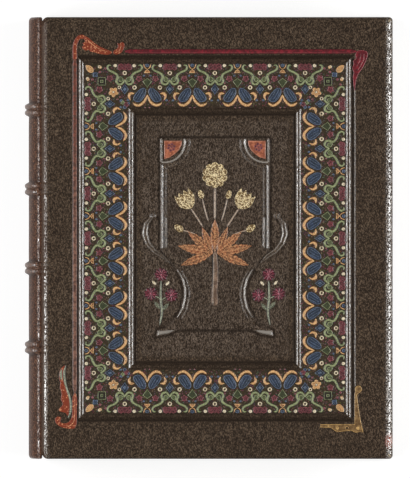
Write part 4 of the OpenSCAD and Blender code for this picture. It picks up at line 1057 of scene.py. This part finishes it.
def buildBorder():
    z = borderZ
    units, between, corners = borderPlaces(0), borderPlaces(1), cornerPlaces()
    for leather, inUnit, inBetween, inCorner in (  # what lies in each unit, between two units and in each corner
        ("ochre",
         bothSides(strip([(-9.7, -30.4), (-8.2, -31.6), (-6.0, -32.1), (-3.6, -31.0), (-1.5, -28.6), (-0.1, -25.2)],
                         [0.9, 1.7, 2.0, 1.9, 1.7, 0.9], z, 14),
                   strip([(-11.4, -28.4), (-12.3, -26.2), (-11.4, -24.1), (-9.0, -24.0)], [0.7, 1.7, 2.2, 1.0], z, 9))
         + [plate([(-2.1, -10.2), (2.1, -10.2), (1.5, -8.7), (0.6, -8.2), (0, -6.9), (-0.6, -8.2), (-1.5, -8.7)], z)]
         + bothSides(strip([(-2.4, -4.3), (-1.8, -6.3), (-0.6, -7.3)], 0.7, z, 5)),
         [],
         [plate(smoothLoop([(4.9, 4.9), (7.6, 5.2), (9.9, 7.2), (9.8, 9.6), (7.3, 9.9), (5.2, 7.7)], 3), z, body=0.5),
          plate(flowerLoop(23.6, 23.2, 3.5, 1.3, 5, 0.3), z, body=0.5)]
         + [disc(6.3, 14.6, 1.1, z, 8), disc(14.6, 6.3, 1.1, z, 8)]),
        ("blue",
         bothSides(plate(smoothLoop([(-1.7, -20.4), (-0.9, -23.4), (-2.6, -27.2), (-5.2, -29.8), (-8.6, -29.2),
                                     (-9.4, -27.0), (-7.4, -23.6), (-4.6, -20.9)], 2), z, body=-0.35),
                   strip([(-2.6, -21.6), (-4.0, -24.4), (-6.6, -28.6)], 0.5, z + 0.28, 6, 0.2),
                   strip([(-4.3, -21.8), (-5.9, -24.4), (-8.4, -28.2)], 0.5, z + 0.28, 6, 0.2),
                   strip([(-1.9, -23.4), (-3.6, -26.8), (-5.2, -28.8)], 0.5, z + 0.28, 6, 0.2),
                   disc(-2.2, -12.0, 0.7, z, 7, -0.2))
         + [plate([(0, -3.8), (-1.3, -4.6), (-0.9, -6.0), (0.9, -6.0), (1.3, -4.6)], z, body=-0.2)],
         [plate([(0, -17.7), (-2.6, -21.1), (0, -24.7), (2.6, -21.1)], z, body=-0.6),
          plate([(0, -19.7), (-1.1, -21.2), (0, -22.7), (1.1, -21.2)], z + 0.2, rise=0.25, body=0.5)]
         + bothSides(disc(-2.2, -28.6, 0.8, z, 7, -0.3)),
         [plate(flowerLoop(11.2, 11.4, 2.0, 0.7, 4, 0.7), z, body=-0.2)]
         + [disc(31.2, 33.4, 1.2, z, 8, -0.2), disc(33.8, 30.8, 1.0, z, 8, -0.2)]),
        ("green",
         [plate([(0, -13.6), (-3.1, -15.9), (0, -20.2), (3.1, -15.9)], z, body=-0.7)],
         bothSides(
             strip([(-9.4, -5.0), (-10.9, -4.9), (-11.7, -6.6), (-10.4, -8.5), (-7.4, -9.8), (-5.1, -11.5),
                    (-4.8, -13.2), (-5.6, -15.2), (-4.9, -17.2), (-2.6, -17.9), (-1.0, -16.4), (0, -14.8)],
                   [0.9, 1.3, 1.5, 1.6, 1.7, 1.8, 1.7, 1.7, 1.8, 1.7, 1.6, 1.5], z, 30),
             plate(smoothLoop([(-3.9, -12.6), (-2.0, -13.0), (-0.9, -14.4), (-2.2, -16.2), (-4.0, -15.6)], 2), z,
                   body=-0.3)),
         [plate([(13.0, 13.2), (18.4, 13.2), (18.4, 18.6), (13.0, 18.6)], z, body=-0.9),
          plate([(14.7, 14.9), (16.7, 14.9), (16.7, 16.9), (14.7, 16.9)], z + 0.2, rise=0.25, body=-0.4),
          plate([(28.4, 30.6), (29.8, 28.6), (31.4, 30.0), (30.0, 31.8)], z, body=0.1)]),
        ("maroon",
         bothSides(plate(flowerLoop(-5.5, -14.0, 2.3, 0.8, 5, 0.9, 4), z, body=0.2),
                   disc(-8.6, -17.0, 0.6, z, 6), disc(-1.5, -33.6, 0.5, z, 6, 0)),
         [plate([(-4.4, -4.6), (-2.4, -3.6), (-0.9, -4.6), (0, -3.6), (0.9, -4.6), (2.4, -3.6), (4.4, -4.6),
                 (4.9, -7.4), (3.3, -8.6), (1.9, -7.6), (0, -8.3), (-1.9, -7.6), (-3.3, -8.6), (-4.9, -7.4)], z,
                 body=0.1)]
         + bothSides(strip([(-3.9, -7.2), (-3.0, -5.2), (-1.9, -6.9), (-0.7, -5.3)], 0.5, z + 0.3, 8, 0.2),
                     disc(-3.2, -26.4, 0.7, z, 6, 0)),
         [plate(flowerLoop(21.2, 13.8, 2.4, 0.8, 5, 0.3, 4), z, body=0.2),
          plate(flowerLoop(14.0, 21.4, 2.4, 0.8, 5, 0.3, 4), z, body=0.2),
          plate(flowerLoop(32.4, 31.6, 1.9, 0.6, 5, 0.3, 4), z, body=0.2),
          disc(14.4, 9.6, 0.9, z, 7), disc(9.4, 14.6, 0.9, z, 7), disc(18.2, 7.2, 0.9, z, 7),
          disc(7.2, 18.0, 0.9, z, 7)]),
        ("cream",
         bothSides(ring(-8.6, -20.0, 1.6, z)),
         [ring(0, -10.2, 1.6, z)] + bothSides(disc(-6.4, -5.2, 1.2, z, 9, 0.9)),
         [disc(14.0, 6.0, 1.1, z, 8, 0.8), disc(6.0, 14.0, 1.1, z, 8, 0.8), ring(27.6, 20.0, 1.3, z),
          ring(20.0, 27.6, 1.3, z),
          disc(23.6, 23.2, 0.7, z + 0.35, 7, 0.8)]),
    ):
        placed = [(m, at) for motifs, places in ((inUnit, units), (inBetween, between), (inCorner, corners))
                  for m in motifs for at in places]
        lay("border" + leather.capitalize(), placed, leather, leather, "border_" + leather)


buildBorder()
print("stage: border ready")

# the larger inlays round the frame and in the cartouche
frameLeft, frameRight = rail["centre"][0] - rail["half"][0], rail["centre"][0] + rail["half"][0]
frameLow, frameTop = rail["centre"][1] - rail["half"][1], rail["centre"][1] + rail["half"][1]
# levels of the larger inlays: the third number puts a painted highlight on the rim and painted shade at the foot
softRim = [(-0.35, -0.1, -1), (-0.05, 0.06, -1), (0.0, 0.12, -0.4), (0.08, 0.32, 0.45), (0.5, 0.4, 0.1),
           (1.1, 0.37, 0.0)]
paleRim = [(-0.35, -0.1, -1), (-0.05, 0.06, -1), (0.0, 0.12, -0.3), (0.1, 0.34, 0.9), (0.45, 0.4, 0.6),
           (0.8, 0.34, -0.25), (1.4, 0.37, 0.0)]


def buildCornerInlays():
    z = panelZ
    fillet = strip([(0, frameLow + 17.4), (0, 0), (0, frameTop)], 3.0, z, 60, profile=filletProfile)
    layAll("filletLeft", [fillet], (frameLeft - 2.6, 0), "redBrown", "red_brown", "fillet_left")
    level = frameTop + 4.4
    fillet = strip([(frameLeft + 31.4, level), (0, level), (frameRight + 3.4, level)], 2.7, z, 50,
                   profile=filletProfile)
    layAll("filletTop", [fillet], (0, 0), "crimson", "crimson", "fillet_top")
    scroll = [
        strip([(-2.6, -1.2), (-2.65, 6.8), (-1.95, 10.7), (-0.25, 13.5), (2.0, 14.5), (4.4, 13.6)],
              [2.9, 2.9, 2.8, 2.6, 2.6, 2.2], z, 26, profile=filletProfile),
        plate(smoothLoop([(3.9, 15.0), (7.2, 13.2), (9.7, 11.0), (12.1, 9.1), (15.5, 7.2), (18.9, 5.7), (22.0, 4.5),
                          (22.4, 3.1), (19.8, 2.2), (16.0, 2.5), (13.0, 3.0), (10.7, 3.9), (8.2, 4.1), (6.8, 5.4),
                          (4.4, 5.1), (2.1, 7.3), (3.3, 8.6), (2.6, 10.0), (4.2, 11.0), (3.8, 12.8)], 3), z, softRim),
        plate(smoothLoop([(23.2, 3.5), (23.9, 5.0), (26.2, 6.6), (26.6, 8.5), (26.2, 10.2), (27.7, 9.6), (29.1, 10.9),
                          (30.9, 9.7), (31.1, 7.8), (30.0, 5.0), (28.1, 3.0), (25.2, 2.4)], 3), z, softRim),
        strip([(5.2, 12.9), (8.0, 10.4), (11.4, 7.6), (15.6, 5.4), (19.6, 4.1)], [0.5, 0.9, 0.9, 0.8, 0.4], z + 0.3,
              16, 0.25),
        strip([(24.6, 3.6), (27.6, 5.0), (28.8, 8.6)], [0.4, 0.9, 0.5], z + 0.3, 8, 0.25),
    ]
    layAll("scrollTopLeft", scroll, (frameLeft, frameTop), "vermilion", "vermilion", "scroll_top_left")
    leaf = [
        plate(smoothLoop([(-1.3, 15.3), (-1.2, 6.0), (-1.3, -0.8), (-1.8, -4.6), (-3.2, -6.5), (-7.4, -6.5),
                          (-12.2, -5.3), (-15.6, -2.6), (-15.9, 0.3), (-14.0, 1.6), (-11.9, 0.8), (-12.6, -1.9),
                          (-10.6, -3.0), (-7.4, -2.5), (-5.0, 0.4), (-4.2, 6.0), (-4.0, 15.3)], 3), z, softRim),
        strip([(-2.6, 14.8), (-2.6, 5.0), (-3.2, -1.4), (-6.0, -4.6), (-10.6, -4.4)], [0.5, 0.6, 0.7, 0.8, 0.4],
              z + 0.3, 20, 0.22),
        plate(smoothLoop([(-9.1, 36.4), (-11.8, 34.6), (-13.2, 31.5), (-13.2, 27.6), (-12.4, 24.2), (-12.8, 21.3),
                          (-11.6, 17.4), (-12.2, 13.4), (-10.8, 10.0), (-13.6, 6.2), (-11.6, 4.7), (-9.1, 4.2),
                          (-7.2, 2.0), (-6.4, 6.0), (-6.3, 12.9), (-7.6, 17.4), (-9.0, 21.3), (-10.2, 25.3),
                          (-10.8, 29.8), (-9.9, 33.8)], 3), z, softRim),
        disc(-2.5, 16.4, 1.0, z + 0.2, 8, 0.2),
    ]
    layAll("leafBottomLeft", leaf, (frameLeft, frameLow), "vermilion", "vermilion", "leaf_bottom_left")
    layAll("leafEdge", [strip([(-9.0, 36.2), (-9.9, 32.0), (-9.6, 27.0), (-8.4, 21.5), (-6.8, 16.6), (-5.5, 11.0),
                               (-5.6, 5.0), (-7.0, 0.8)], [1.0, 1.6, 1.5, 1.4, 1.5, 1.5, 1.4, 1.2], z + 0.02, 30),
                        strip([(-11.6, 33.6), (-12.2, 30.4), (-11.8, 26.6)], [1.0, 1.9, 1.2], z + 0.25, 8, 0.25)],
           (frameLeft, frameLow), "sage", "green")
    drop = [
        plate(smoothLoop([(4.6, 5.0), (8.0, 5.2), (10.6, 4.4), (11.3, 2.2), (10.3, -1.7), (8.0, -6.5), (5.6, -9.9),
                          (4.0, -13.3), (3.1, -17.7), (2.4, -22.3), (1.5, -16.7), (1.2, -12.8), (1.8, -9.9),
                          (0.8, -7.0), (1.8, -4.1), (1.3, -2.2), (3.2, -0.2), (3.0, 2.6)], 3), z, paleRim),
        strip([(8.8, 2.6), (8.6, -0.8), (6.6, -5.0), (4.4, -8.8)], [0.5, 0.9, 0.8, 0.4], z + 0.3, 12, 0.25),
        strip([(6.6, 2.8), (6.0, -1.4), (4.0, -5.6)], [0.4, 0.7, 0.4], z + 0.3, 10, 0.22),
    ]
    layAll("dropTopRight", drop, (frameRight, frameTop), "crimson", "crimson", "drop_top_right")
    knob = around(5.0, 20.2, 2.4, range(215, -71, -24))
    corner = [
        plate([(2.4, -3.5), (2.35, 6.0), (2.4, 17.4)] + knob + [(4.0, 16.4), (5.2, 7.8), (6.4, -0.2), (8.5, -9.1),
                                                                (6.1, -8.8),
               (3.6, -9.3), (2.1, -9.0), (0.4, -8.0), (-3.0, -8.2), (-6.4, -8.6), (-9.7, -8.9), (-11.7, -7.6),
               (-13.7, -6.0), (-17.0, -5.9), (-21.2, -5.7), (-20.8, -3.6), (-9.0, -3.5)], z, paleRim),
        disc(-2.8, -6.2, 1.3, z + 0.25, 8, -0.9),
        disc(-9.2, -6.2, 1.2, z + 0.25, 8, 0.9), disc(4.6, -6.4, 1.3, z + 0.25, 8, 0.9),
        disc(-15.4, -4.8, 0.7, z + 0.25, 8, 0.9),
    ]
    layAll("cornerBottomRight", corner, (frameRight, frameLow), "tan", "ochre", "corner_bottom_right")
    quarter = [(-34.4, 66.3), (-22.4, 66.3), (-22.8, 63.3), (-24.4, 60.0), (-27.4, 57.1), (-30.6, 55.0), (-34.4, 53.9)]
    quarter = [(a[0] + (b[0] - a[0]) * t, a[1] + (b[1] - a[1]) * t)
               for a, b in zip(quarter, quarter[1:] + quarter[:1]) for t in (0, 1 / 3, 2 / 3)]
    field = [plate(quarter, borderZ, softRim[:3] + [(0.1, 0.34, 0.6), (0.7, 0.4, 0.3), (1.2, 0.38, 0.15)])]
    middle = (-29.6, 61.9)
    rosette = [disc(x, y, 1.0, borderZ + 0.2, 8, 0.0) for x, y in around(*middle, 2.1,
                                                                         np.degrees(0.3) + np.arange(6) * 60)]
    rosette += [disc(*middle, 0.9, borderZ + 0.2, 8, 0.4)]
    for side in ("Left", "Right"):
        layAll("plate" + side, field, rail["centre"], "coral", "vermilion", "corner_plate_" + side.lower())
        layAll("plate" + side + "Rosette", rosette, rail["centre"], "maroon", "maroon")
        field, rosette = ([mirrorMotif(m) for m in motifs] for motifs in (field, rosette))


buildCornerInlays()
print("stage: corner inlays ready")

spray = {
    "roseR": 8.7, "roseY": 43.0, "petals": 10,
    "leaves": [(-21, 23, 6.4), (12, 24, 6.8), (42, 23, 6.4), (68, 19, 5.6)],  # angle, length, width
}


def lanceLeaf(length, width, turn, at, z0, veins=7, rise=0.45):  # a pointed leaf with a midrib and side veins
    n, k = 27, 9
    ob = addGrid("leaf", np.arange(n), np.arange(k))
    i, j = gridPlaces(readPoints(ob))
    u, v = i / (n - 1), (j - (k - 1) / 2) / ((k - 1) / 2)
    wide = np.interp(u, [0, 0.08, 0.3, 0.55, 0.8, 0.94, 1], [0.16, 0.3, 0.84, 1, 0.62, 0.22, 0.03]) * width / 2
    off, midrib = np.abs(v), bell(v, 0.16)
    wide = wide * (1 + 0.13 * np.cos(u * veins * 2 * math.pi) * (off > 0.9))
    vein = np.cos((u * veins - off * 1.1) * 2 * math.pi)
    high = rise * (1 - off ** 3) * (0.86 + 0.14 * vein) + 0.1 * midrib
    writePoints(ob, np.column_stack([u * length, v * wide, z0 + np.where(off > 0.98, -0.08, high)]))
    # pale along the raised midrib and vein crests, darker in the dips: painted highlight and shade
    tone = 0.8 * midrib + 0.45 * np.clip(vein, 0, 1) * (off < 0.85) - 0.3 * np.clip(-vein, 0, 1)
    tone = tone - 0.95 * (off > 0.98) + 0.7 * ((off > 0.7) & (off < 0.8))  # a pale line inside the dark edge
    return joinMotifs((takeMesh(ob, tone), shifted(*at, turn)))


def buildSpray():
    z = borderZ
    at = rail["centre"]
    rose = []
    for k in range(spray["petals"]):
        petal = plate(smoothLoop([(1.8, -0.5), (4.6, -1.9), (7.4, -2.5), (8.9, -1.3), (9.2, 0), (8.9, 1.3),
                                  (7.4, 2.5), (4.6, 1.9), (1.8, 0.5)], 2), z, softRim)
        rose.append((petal, shifted(0, spray["roseY"], 36 * k + 18, spray["roseR"] / 9.2)))
    for k in range(8):
        petal = plate(smoothLoop([(0.4, -0.4), (2.6, -1.5), (4.6, -1.5), (5.3, 0), (4.6, 1.5), (2.6, 1.5),
                                  (0.4, 0.4)], 2), z + 0.22, softRim)
        rose.append((petal, shifted(0, spray["roseY"], 45 * k)))
    rose.append((disc(0, 0, 1.5, z + 0.42, 10, 0.9), shifted(0, spray["roseY"])))
    cup = [(-1.0, -6.4), (-4.6, -4.0), (-6.4, -0.2), (-6.0, 4.0), (-5.4, 6.8), (-3.6, 4.0), (-2.0, 6.9), (0, 4.2),
           (2.0, 6.9), (3.6, 4.0), (5.4, 6.8), (6.0, 4.0), (6.4, -0.2), (4.6, -4.0), (1.0, -6.4)]
    tulip = [plate(smoothLoop(cup, 2), z, softRim)]
    tulip += bothSides(strip([(-0.6, -5.2), (-3.4, -1.6), (-3.4, 3.4)], [0.5, 1.1, 0.4], z + 0.3, 9, 0.25))
    tulip += [strip([(0, -5.6), (0, -0.6), (0, 3.2)], [0.5, 1.2, 0.4], z + 0.3, 8, 0.25)]
    bud = plate(smoothLoop([(-0.8, -3.5), (-2.3, -1.2), (-1.5, 2.4), (0, 3.4), (1.5, 2.4), (2.3, -1.2), (0.8, -3.5)],
                           3), z, softRim)
    blooms = [joinMotifs(*rose)]
    blooms += bothSides(joinMotifs(*[(t, shifted(-19.5, 26, 32)) for t in tulip]),
                        joinMotifs((bud, shifted(-24.5, 7, 58))), joinMotifs((bud, shifted(-9.5, 30, 20, 0.85))))
    layAll("sprayBlooms", blooms, at, "gold", "gold", "spray_blooms")
    leaves = []
    for angle, length, width in spray["leaves"]:
        leaves += bothSides(lanceLeaf(length, width, 180 - angle, (-1.6, -10), z))
    leaves.append(lanceLeaf(22, 6.6, 90, (0, -9), z + 0.08))
    layAll("sprayLeaves", leaves, at, "russet", "russet", "spray_leaves")
    stems = [
        strip([(0, -9.5), (0.4, -24), (-0.3, -36), (0, -45.4)], [2.6, 3.7, 3.9, 4.7], z, 34, profile=filletProfile),
        strip([(-0.9, -12), (-0.7, -24), (-1.3, -36), (-1.2, -44.6)], [0.4, 0.6, 0.6, 0.6], z + 0.34, 26, 0.2),
        strip([(0, 13.5), (0, 24), (0, 34)], 1.5, z, 16),
    ]
    stems += bothSides(strip([(-8.4, 8.2), (-12.2, 14.2), (-15.9, 19.8)], 1.3, z, 12),
                       strip([(-4.6, 12.0), (-6.6, 19), (-8.3, 26.4)], 1.0, z, 12),
                       strip([(-13.6, 3.2), (-18.0, 4.6), (-21.6, 5.4)], 0.9, z, 9))
    layAll("sprayStems", stems, at, "stem", "stem", "spray_stems")


def buildSprigs():
    z = panelZ
    at = rail["centre"]
    # levels with a dark foot, painted shade, and little painted highlight on the rim
    dark = [(-0.3, -0.1, -1), (0.0, 0.1, -0.6), (0.1, 0.32, 0.15), (0.5, 0.4, -0.2)]
    flower = [(plate(smoothLoop([(0.5, -0.3), (1.9, -1.1), (3.3, -0.9), (4.0, 0), (3.3, 0.9), (1.9, 1.1), (0.5, 0.3)],
                                2), z, dark),
               shifted(0, 0, 72 * k + 54, 1.12)) for k in range(5)]
    flower += [(plate(smoothLoop([(0.5, -0.3), (1.9, -0.9), (3.2, -0.7), (4.0, 0), (3.2, 0.7), (1.9, 0.9),
                                  (0.5, 0.3)], 2), z + 0.12, dark),
                shifted(0, 0, 72 * k + 18, 1.15)) for k in range(5)]
    flower += [(strip([(0.9, 0), (2.1, 0.1), (3.6, 0)], [0.3, 0.5, 0.25], z + 0.4, 6, 0.2),
                shifted(0, 0, 36 * k + 18, 1.1))
               for k in range(10)]
    flower += [(disc(0, 0, 0.8, z + 0.3, 8, 0.9), shifted(0, 0))]
    bloom = joinMotifs(*flower)
    spots = [(-36.5, -24.5, 10), (-43.4, -37.5, 40), (-29.6, -38.5, 0)]
    layAll("sprigBlossoms", bothSides(*[joinMotifs((bloom, shifted(*spot))) for spot in spots]), at,
           "rose", "maroon", "sprig_blossoms")
    bud = plate(smoothLoop([(0, -1.7), (0.9, -0.5), (0.7, 1.1), (0, 1.9), (-0.7, 1.1), (-0.9, -0.5)], 2), z, body=0.9)
    spots = [(-41.2, -30.2, 40), (-32.2, -30.6, -40)]
    layAll("sprigBuds", bothSides(*[joinMotifs((bud, shifted(*spot))) for spot in spots]), at, "cream", "cream",
           "sprig_buds")
    green = [strip([(-37.4, -58.6), (-36, -50), (-36.8, -40), (-36.5, -28.8)], [0.8, 1.5, 1.5, 0.9], z, 24),
             lanceLeaf(6.8, 2.8, 128, (-37.0, -48), z, 4), lanceLeaf(6.8, 2.8, 48, (-35.8, -49), z, 4),
             strip([(-36.6, -41), (-39.4, -39.6), (-41.6, -38.2)], 0.8, z, 8),
             strip([(-36.6, -42), (-34.0, -40.4), (-31.8, -39.4)], 0.8, z, 8)]
    layAll("sprigStems", bothSides(*green), at, "sage", "green", "sprig_stems")


buildSpray()
buildSprigs()
print("stage: spray and sprigs ready")

leaves = {
    "z0": 5.4, "z1": 38.6, "x1": 121.5, "half": 146.5, "hollow": 5.0, "shoulder": -113.5, "depth": 1.2,
    "gatherings": 17, "step": 0.13,  # mm by which the gatherings stand out unevenly
    "bandWidth": 2.4, "wraps": 84,
}


def makeLeafEdges():
    m, tree, shader = startMaterial("leafEdges", 0.75, 0.2)
    at = addNode(tree, 'ShaderNodeCombineXYZ', {0: product(tree, toneOf(tree, "leaf"), mm),
                                              1: product(tree, toneOf(tree, "along"), 0.02 * mm), 2: 0.0}).outputs[0]
    lines = noiseAt(tree, at, 0.28, 2.0, 0.6)
    broad = noiseAt(tree, at, 2.4, 2.0, 0.5)
    stain = noiseAt(tree, placeOf(tree), 26, 4.0, 0.6)
    colour = blendColours(tree, remap(tree, lines, 0.38, 0.58), srgb(124, 104, 78), srgb(210, 194, 164))
    colour = blendColours(tree, remap(tree, broad, 0.35, 0.7, 0.0, 0.4), colour, srgb(174, 152, 118))
    colour = blendColours(tree, remap(tree, stain, 0.45, 0.8, 0.0, 0.5), colour, srgb(150, 124, 90))
    # darker between the gatherings: painted shade
    colour = blendColours(tree, remap(tree, toneOf(tree), 0.0, 1.0, 0.0, 0.75), colour, srgb(90, 72, 52))
    tree.links.new(colour, shader.inputs["Base Color"])
    addBump(tree, shader, lines, 0.14)
    return m


def makeSilk():
    m, tree, shader = startMaterial("bandSilk", 0.45, 0.5)
    shade = noiseAt(tree, placeOf(tree), 0.3, 2.0, 0.6)
    colour = blendColours(tree, remap(tree, toneOf(tree), 0.45, 0.55), srgb(126, 36, 40), srgb(214, 196, 158))
    colour = blendColours(tree, remap(tree, shade, 0.35, 0.65, 0.5, 0.0), colour, srgb(70, 40, 32))
    tree.links.new(colour, shader.inputs["Base Color"])
    addBump(tree, shader, shade, 0.05)
    return m


def buildLeaves():
    b = leaves
    rng = np.random.default_rng(11)
    out = rng.uniform(-1, 1, b["gatherings"])
    v = np.linspace(0, 1, b["gatherings"] * 6 + 1)
    rise = b["z1"] - b["z0"]
    r = (rise * rise / 4 + b["hollow"] ** 2) / (2 * b["hollow"])
    stops = [("tail", t) for t in np.linspace(0, 1, 46) ** 1.6] + [("fore", t) for t in np.linspace(0, 1, 66)[1:-1]]
    stops += [("head", t) for t in 1 - np.linspace(1, 0, 46) ** 1.6]
    stops += [("back", t) for t in np.linspace(0, 1, 14)[1:-1]]
    ob = addGrid("textBlock", np.arange(len(stops) + 1), np.arange(len(v)))
    column, j = gridPlaces(readPoints(ob))
    i = column % len(stops)
    kind, t = (np.array(values)[i] for values in zip(*stops))
    q = v[j]
    flat = b["z0"] + q * rise
    backX, backZ = backPoint(-b["depth"], np.radians((q - 0.5) * 180))
    foreX = b["x1"] - b["hollow"] + r - np.sqrt(np.maximum(r * r - (flat - 22) ** 2, 0))
    part = np.minimum((q * b["gatherings"]).astype(int), b["gatherings"] - 1)
    swell = np.abs(np.sin(q * b["gatherings"] * math.pi)) ** 0.4
    proud = -0.16 * (1 - swell) + b["step"] * (out[part] - 1)
    way = np.where(kind == "tail", t, np.where(kind == "head", 1 - t, np.where(kind == "fore", 1.0, 0.0)))
    x = backX + (foreX - backX) * way + np.where(kind == "fore", proud, 0)
    y = np.where(kind == "tail", -1.0, np.where(kind == "head", 1.0, np.where(kind == "fore", 2 * t - 1, 1 - 2 * t)))
    y = y * b["half"]
    y = y + np.where(kind == "tail", -proud, np.where(kind == "head", proud, 0)) * np.clip(way * 12, 0, 1)
    room = np.maximum(b["shoulder"] - backX, 0.1)
    flare = 1 - smoothOver((x - backX) / np.maximum(room, 9 * (1 - np.abs(2 * q - 1) ** 4)))
    z = flat + (backZ - flat) * flare
    z = np.where(x > b["shoulder"], np.clip(z, b["z0"], b["z1"]), z)
    writePoints(ob, np.column_stack([x, y, z]) * mm)
    # darker where the gatherings dip apart: painted shade
    writeTone(ob, np.clip(1 - swell - 0.3, 0, 1))
    writeTone(ob, q * rise, "leaf")
    writeTone(ob, np.where(kind == "fore", y, x), "along")
    for level in (0, len(v) - 1):  # the two flat sides
        editPoints(ob, (j == level) & (column < len(stops)), bpy.ops.mesh.edge_face_add)
    editAll(ob, lambda: bpy.ops.mesh.remove_doubles(threshold=0.00001), facesOut)
    return ob


def buildHeadband(sign):
    b = leaves
    rows, along = 13, b["wraps"] * 4 + 1
    ob = addGrid("headbandPiece", np.arange(along), np.arange(rows))
    i, j = gridPlaces(readPoints(ob))
    a = np.radians(-78.75 + 157.5 * i / (along - 1))
    wrap = i / (along - 1) * b["wraps"]
    r = b["bandWidth"] / 2 * (0.86 + 0.14 * np.abs(np.sin(wrap * math.pi)))
    turn = math.pi * np.clip((j - 2) / (rows - 5), 0, 1)
    d = -b["depth"] - b["bandWidth"] / 2 + r * np.cos(turn)
    y = b["half"] + b["bandWidth"] / 2 + r * np.sin(turn)
    fromEnd = np.minimum(j, rows - 1 - j)
    y = np.where(fromEnd < 2, b["half"] + b["bandWidth"] / 4 * fromEnd, y)
    x, z = backPoint(d, a)
    writePoints(ob, np.column_stack([x, sign * y, z]) * mm)
    writeTone(ob, (wrap / 4).astype(int) % 2)
    editAll(ob, facesOut)
    return ob


def jointStrip(name, section, thick, half, body, material, cords=0.0):  # a strip bent from the block to a cover
    rows = [np.linspace(-half, half, 61)] + [np.linspace(b - 6, b + 6, 33) for b in bandY if cords]
    ob = addGrid(name, np.arange(len(section)), np.unique(np.concatenate(rows)))
    co = readPoints(ob)
    k, y = np.rint(co[:, 0]).astype(int), co[:, 1].copy()
    fromCord = [np.abs(np.abs(y - b) - cordPitch / 2) for b in bandY]
    lift = np.max([np.interp(d, [0, 1.0, 1.9, 2.8], [1, 0.9, 0.35, 0]) for d in fromCord], axis=0)
    x, z = np.array(section)[k].T
    z = z + cords * lift
    back = body == "back_cover"
    writePoints(ob, np.column_stack([x, y, cover["topZ"] - z if back else z]) * mm)
    writeTone(ob, 0.1 * lift)
    editAll(ob, *([bpy.ops.mesh.flip_normals] if back else []))
    thicken(ob, thick)
    bpy.ops.object.shade_smooth()
    giveMaterial(ob, material)
    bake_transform(ob)


edges, silk = makeLeafEdges(), makeSilk()
finishMesh(buildLeaves(), edges, "block", "page_edges", "text_block")
finishMesh(buildHeadband(1), silk, "block", "headband_silk", "headband")
finishMesh(buildHeadband(-1), silk, "block", "headband_silk", "tailband")
leatherJoint = [(-114.1, 41.95), (-113.65, 42.12), (-113.4, 42.24), (-113.15, 42.2), (-112.9, 42.16), (-112.65, 42.2),
                (-112.4, 42.34), (-112.1, 42.58), (-111.9, 42.7)]
paperJoint = [(-113.9, 38.7), (-113.4, 38.93), (-113.1, 39.0), (-112.8, 39.06), (-112.4, 39.12), (-112.0, 39.16)]
for side in ("front", "back"):
    jointStrip(side + "LeatherJoint", leatherJoint, 0.5, 147.6, side + "_cover", coverLeather, 0.6)
    jointStrip(side + "PaperJoint", paperJoint[::-1], 0.12, 145.9, side + "_cover", paper)
print("stage: leaves, headbands and joints ready")

plain = [  # the pieces that stay as they are
    (paper, "front_flyleaf", "back_flyleaf", "spine_linings", "front_pastedown", "back_pastedown"),
    (hemp, "sewing_cord_1", "sewing_cord_2", "sewing_cord_3", "sewing_cord_4", "front_slips", "back_slips"),
    (boardPulp, "front_board", "back_board"),
]
for material, *names in plain:
    for name in names:
        giveMaterial(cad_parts[name], material)
print("stage: plain finishes ready")
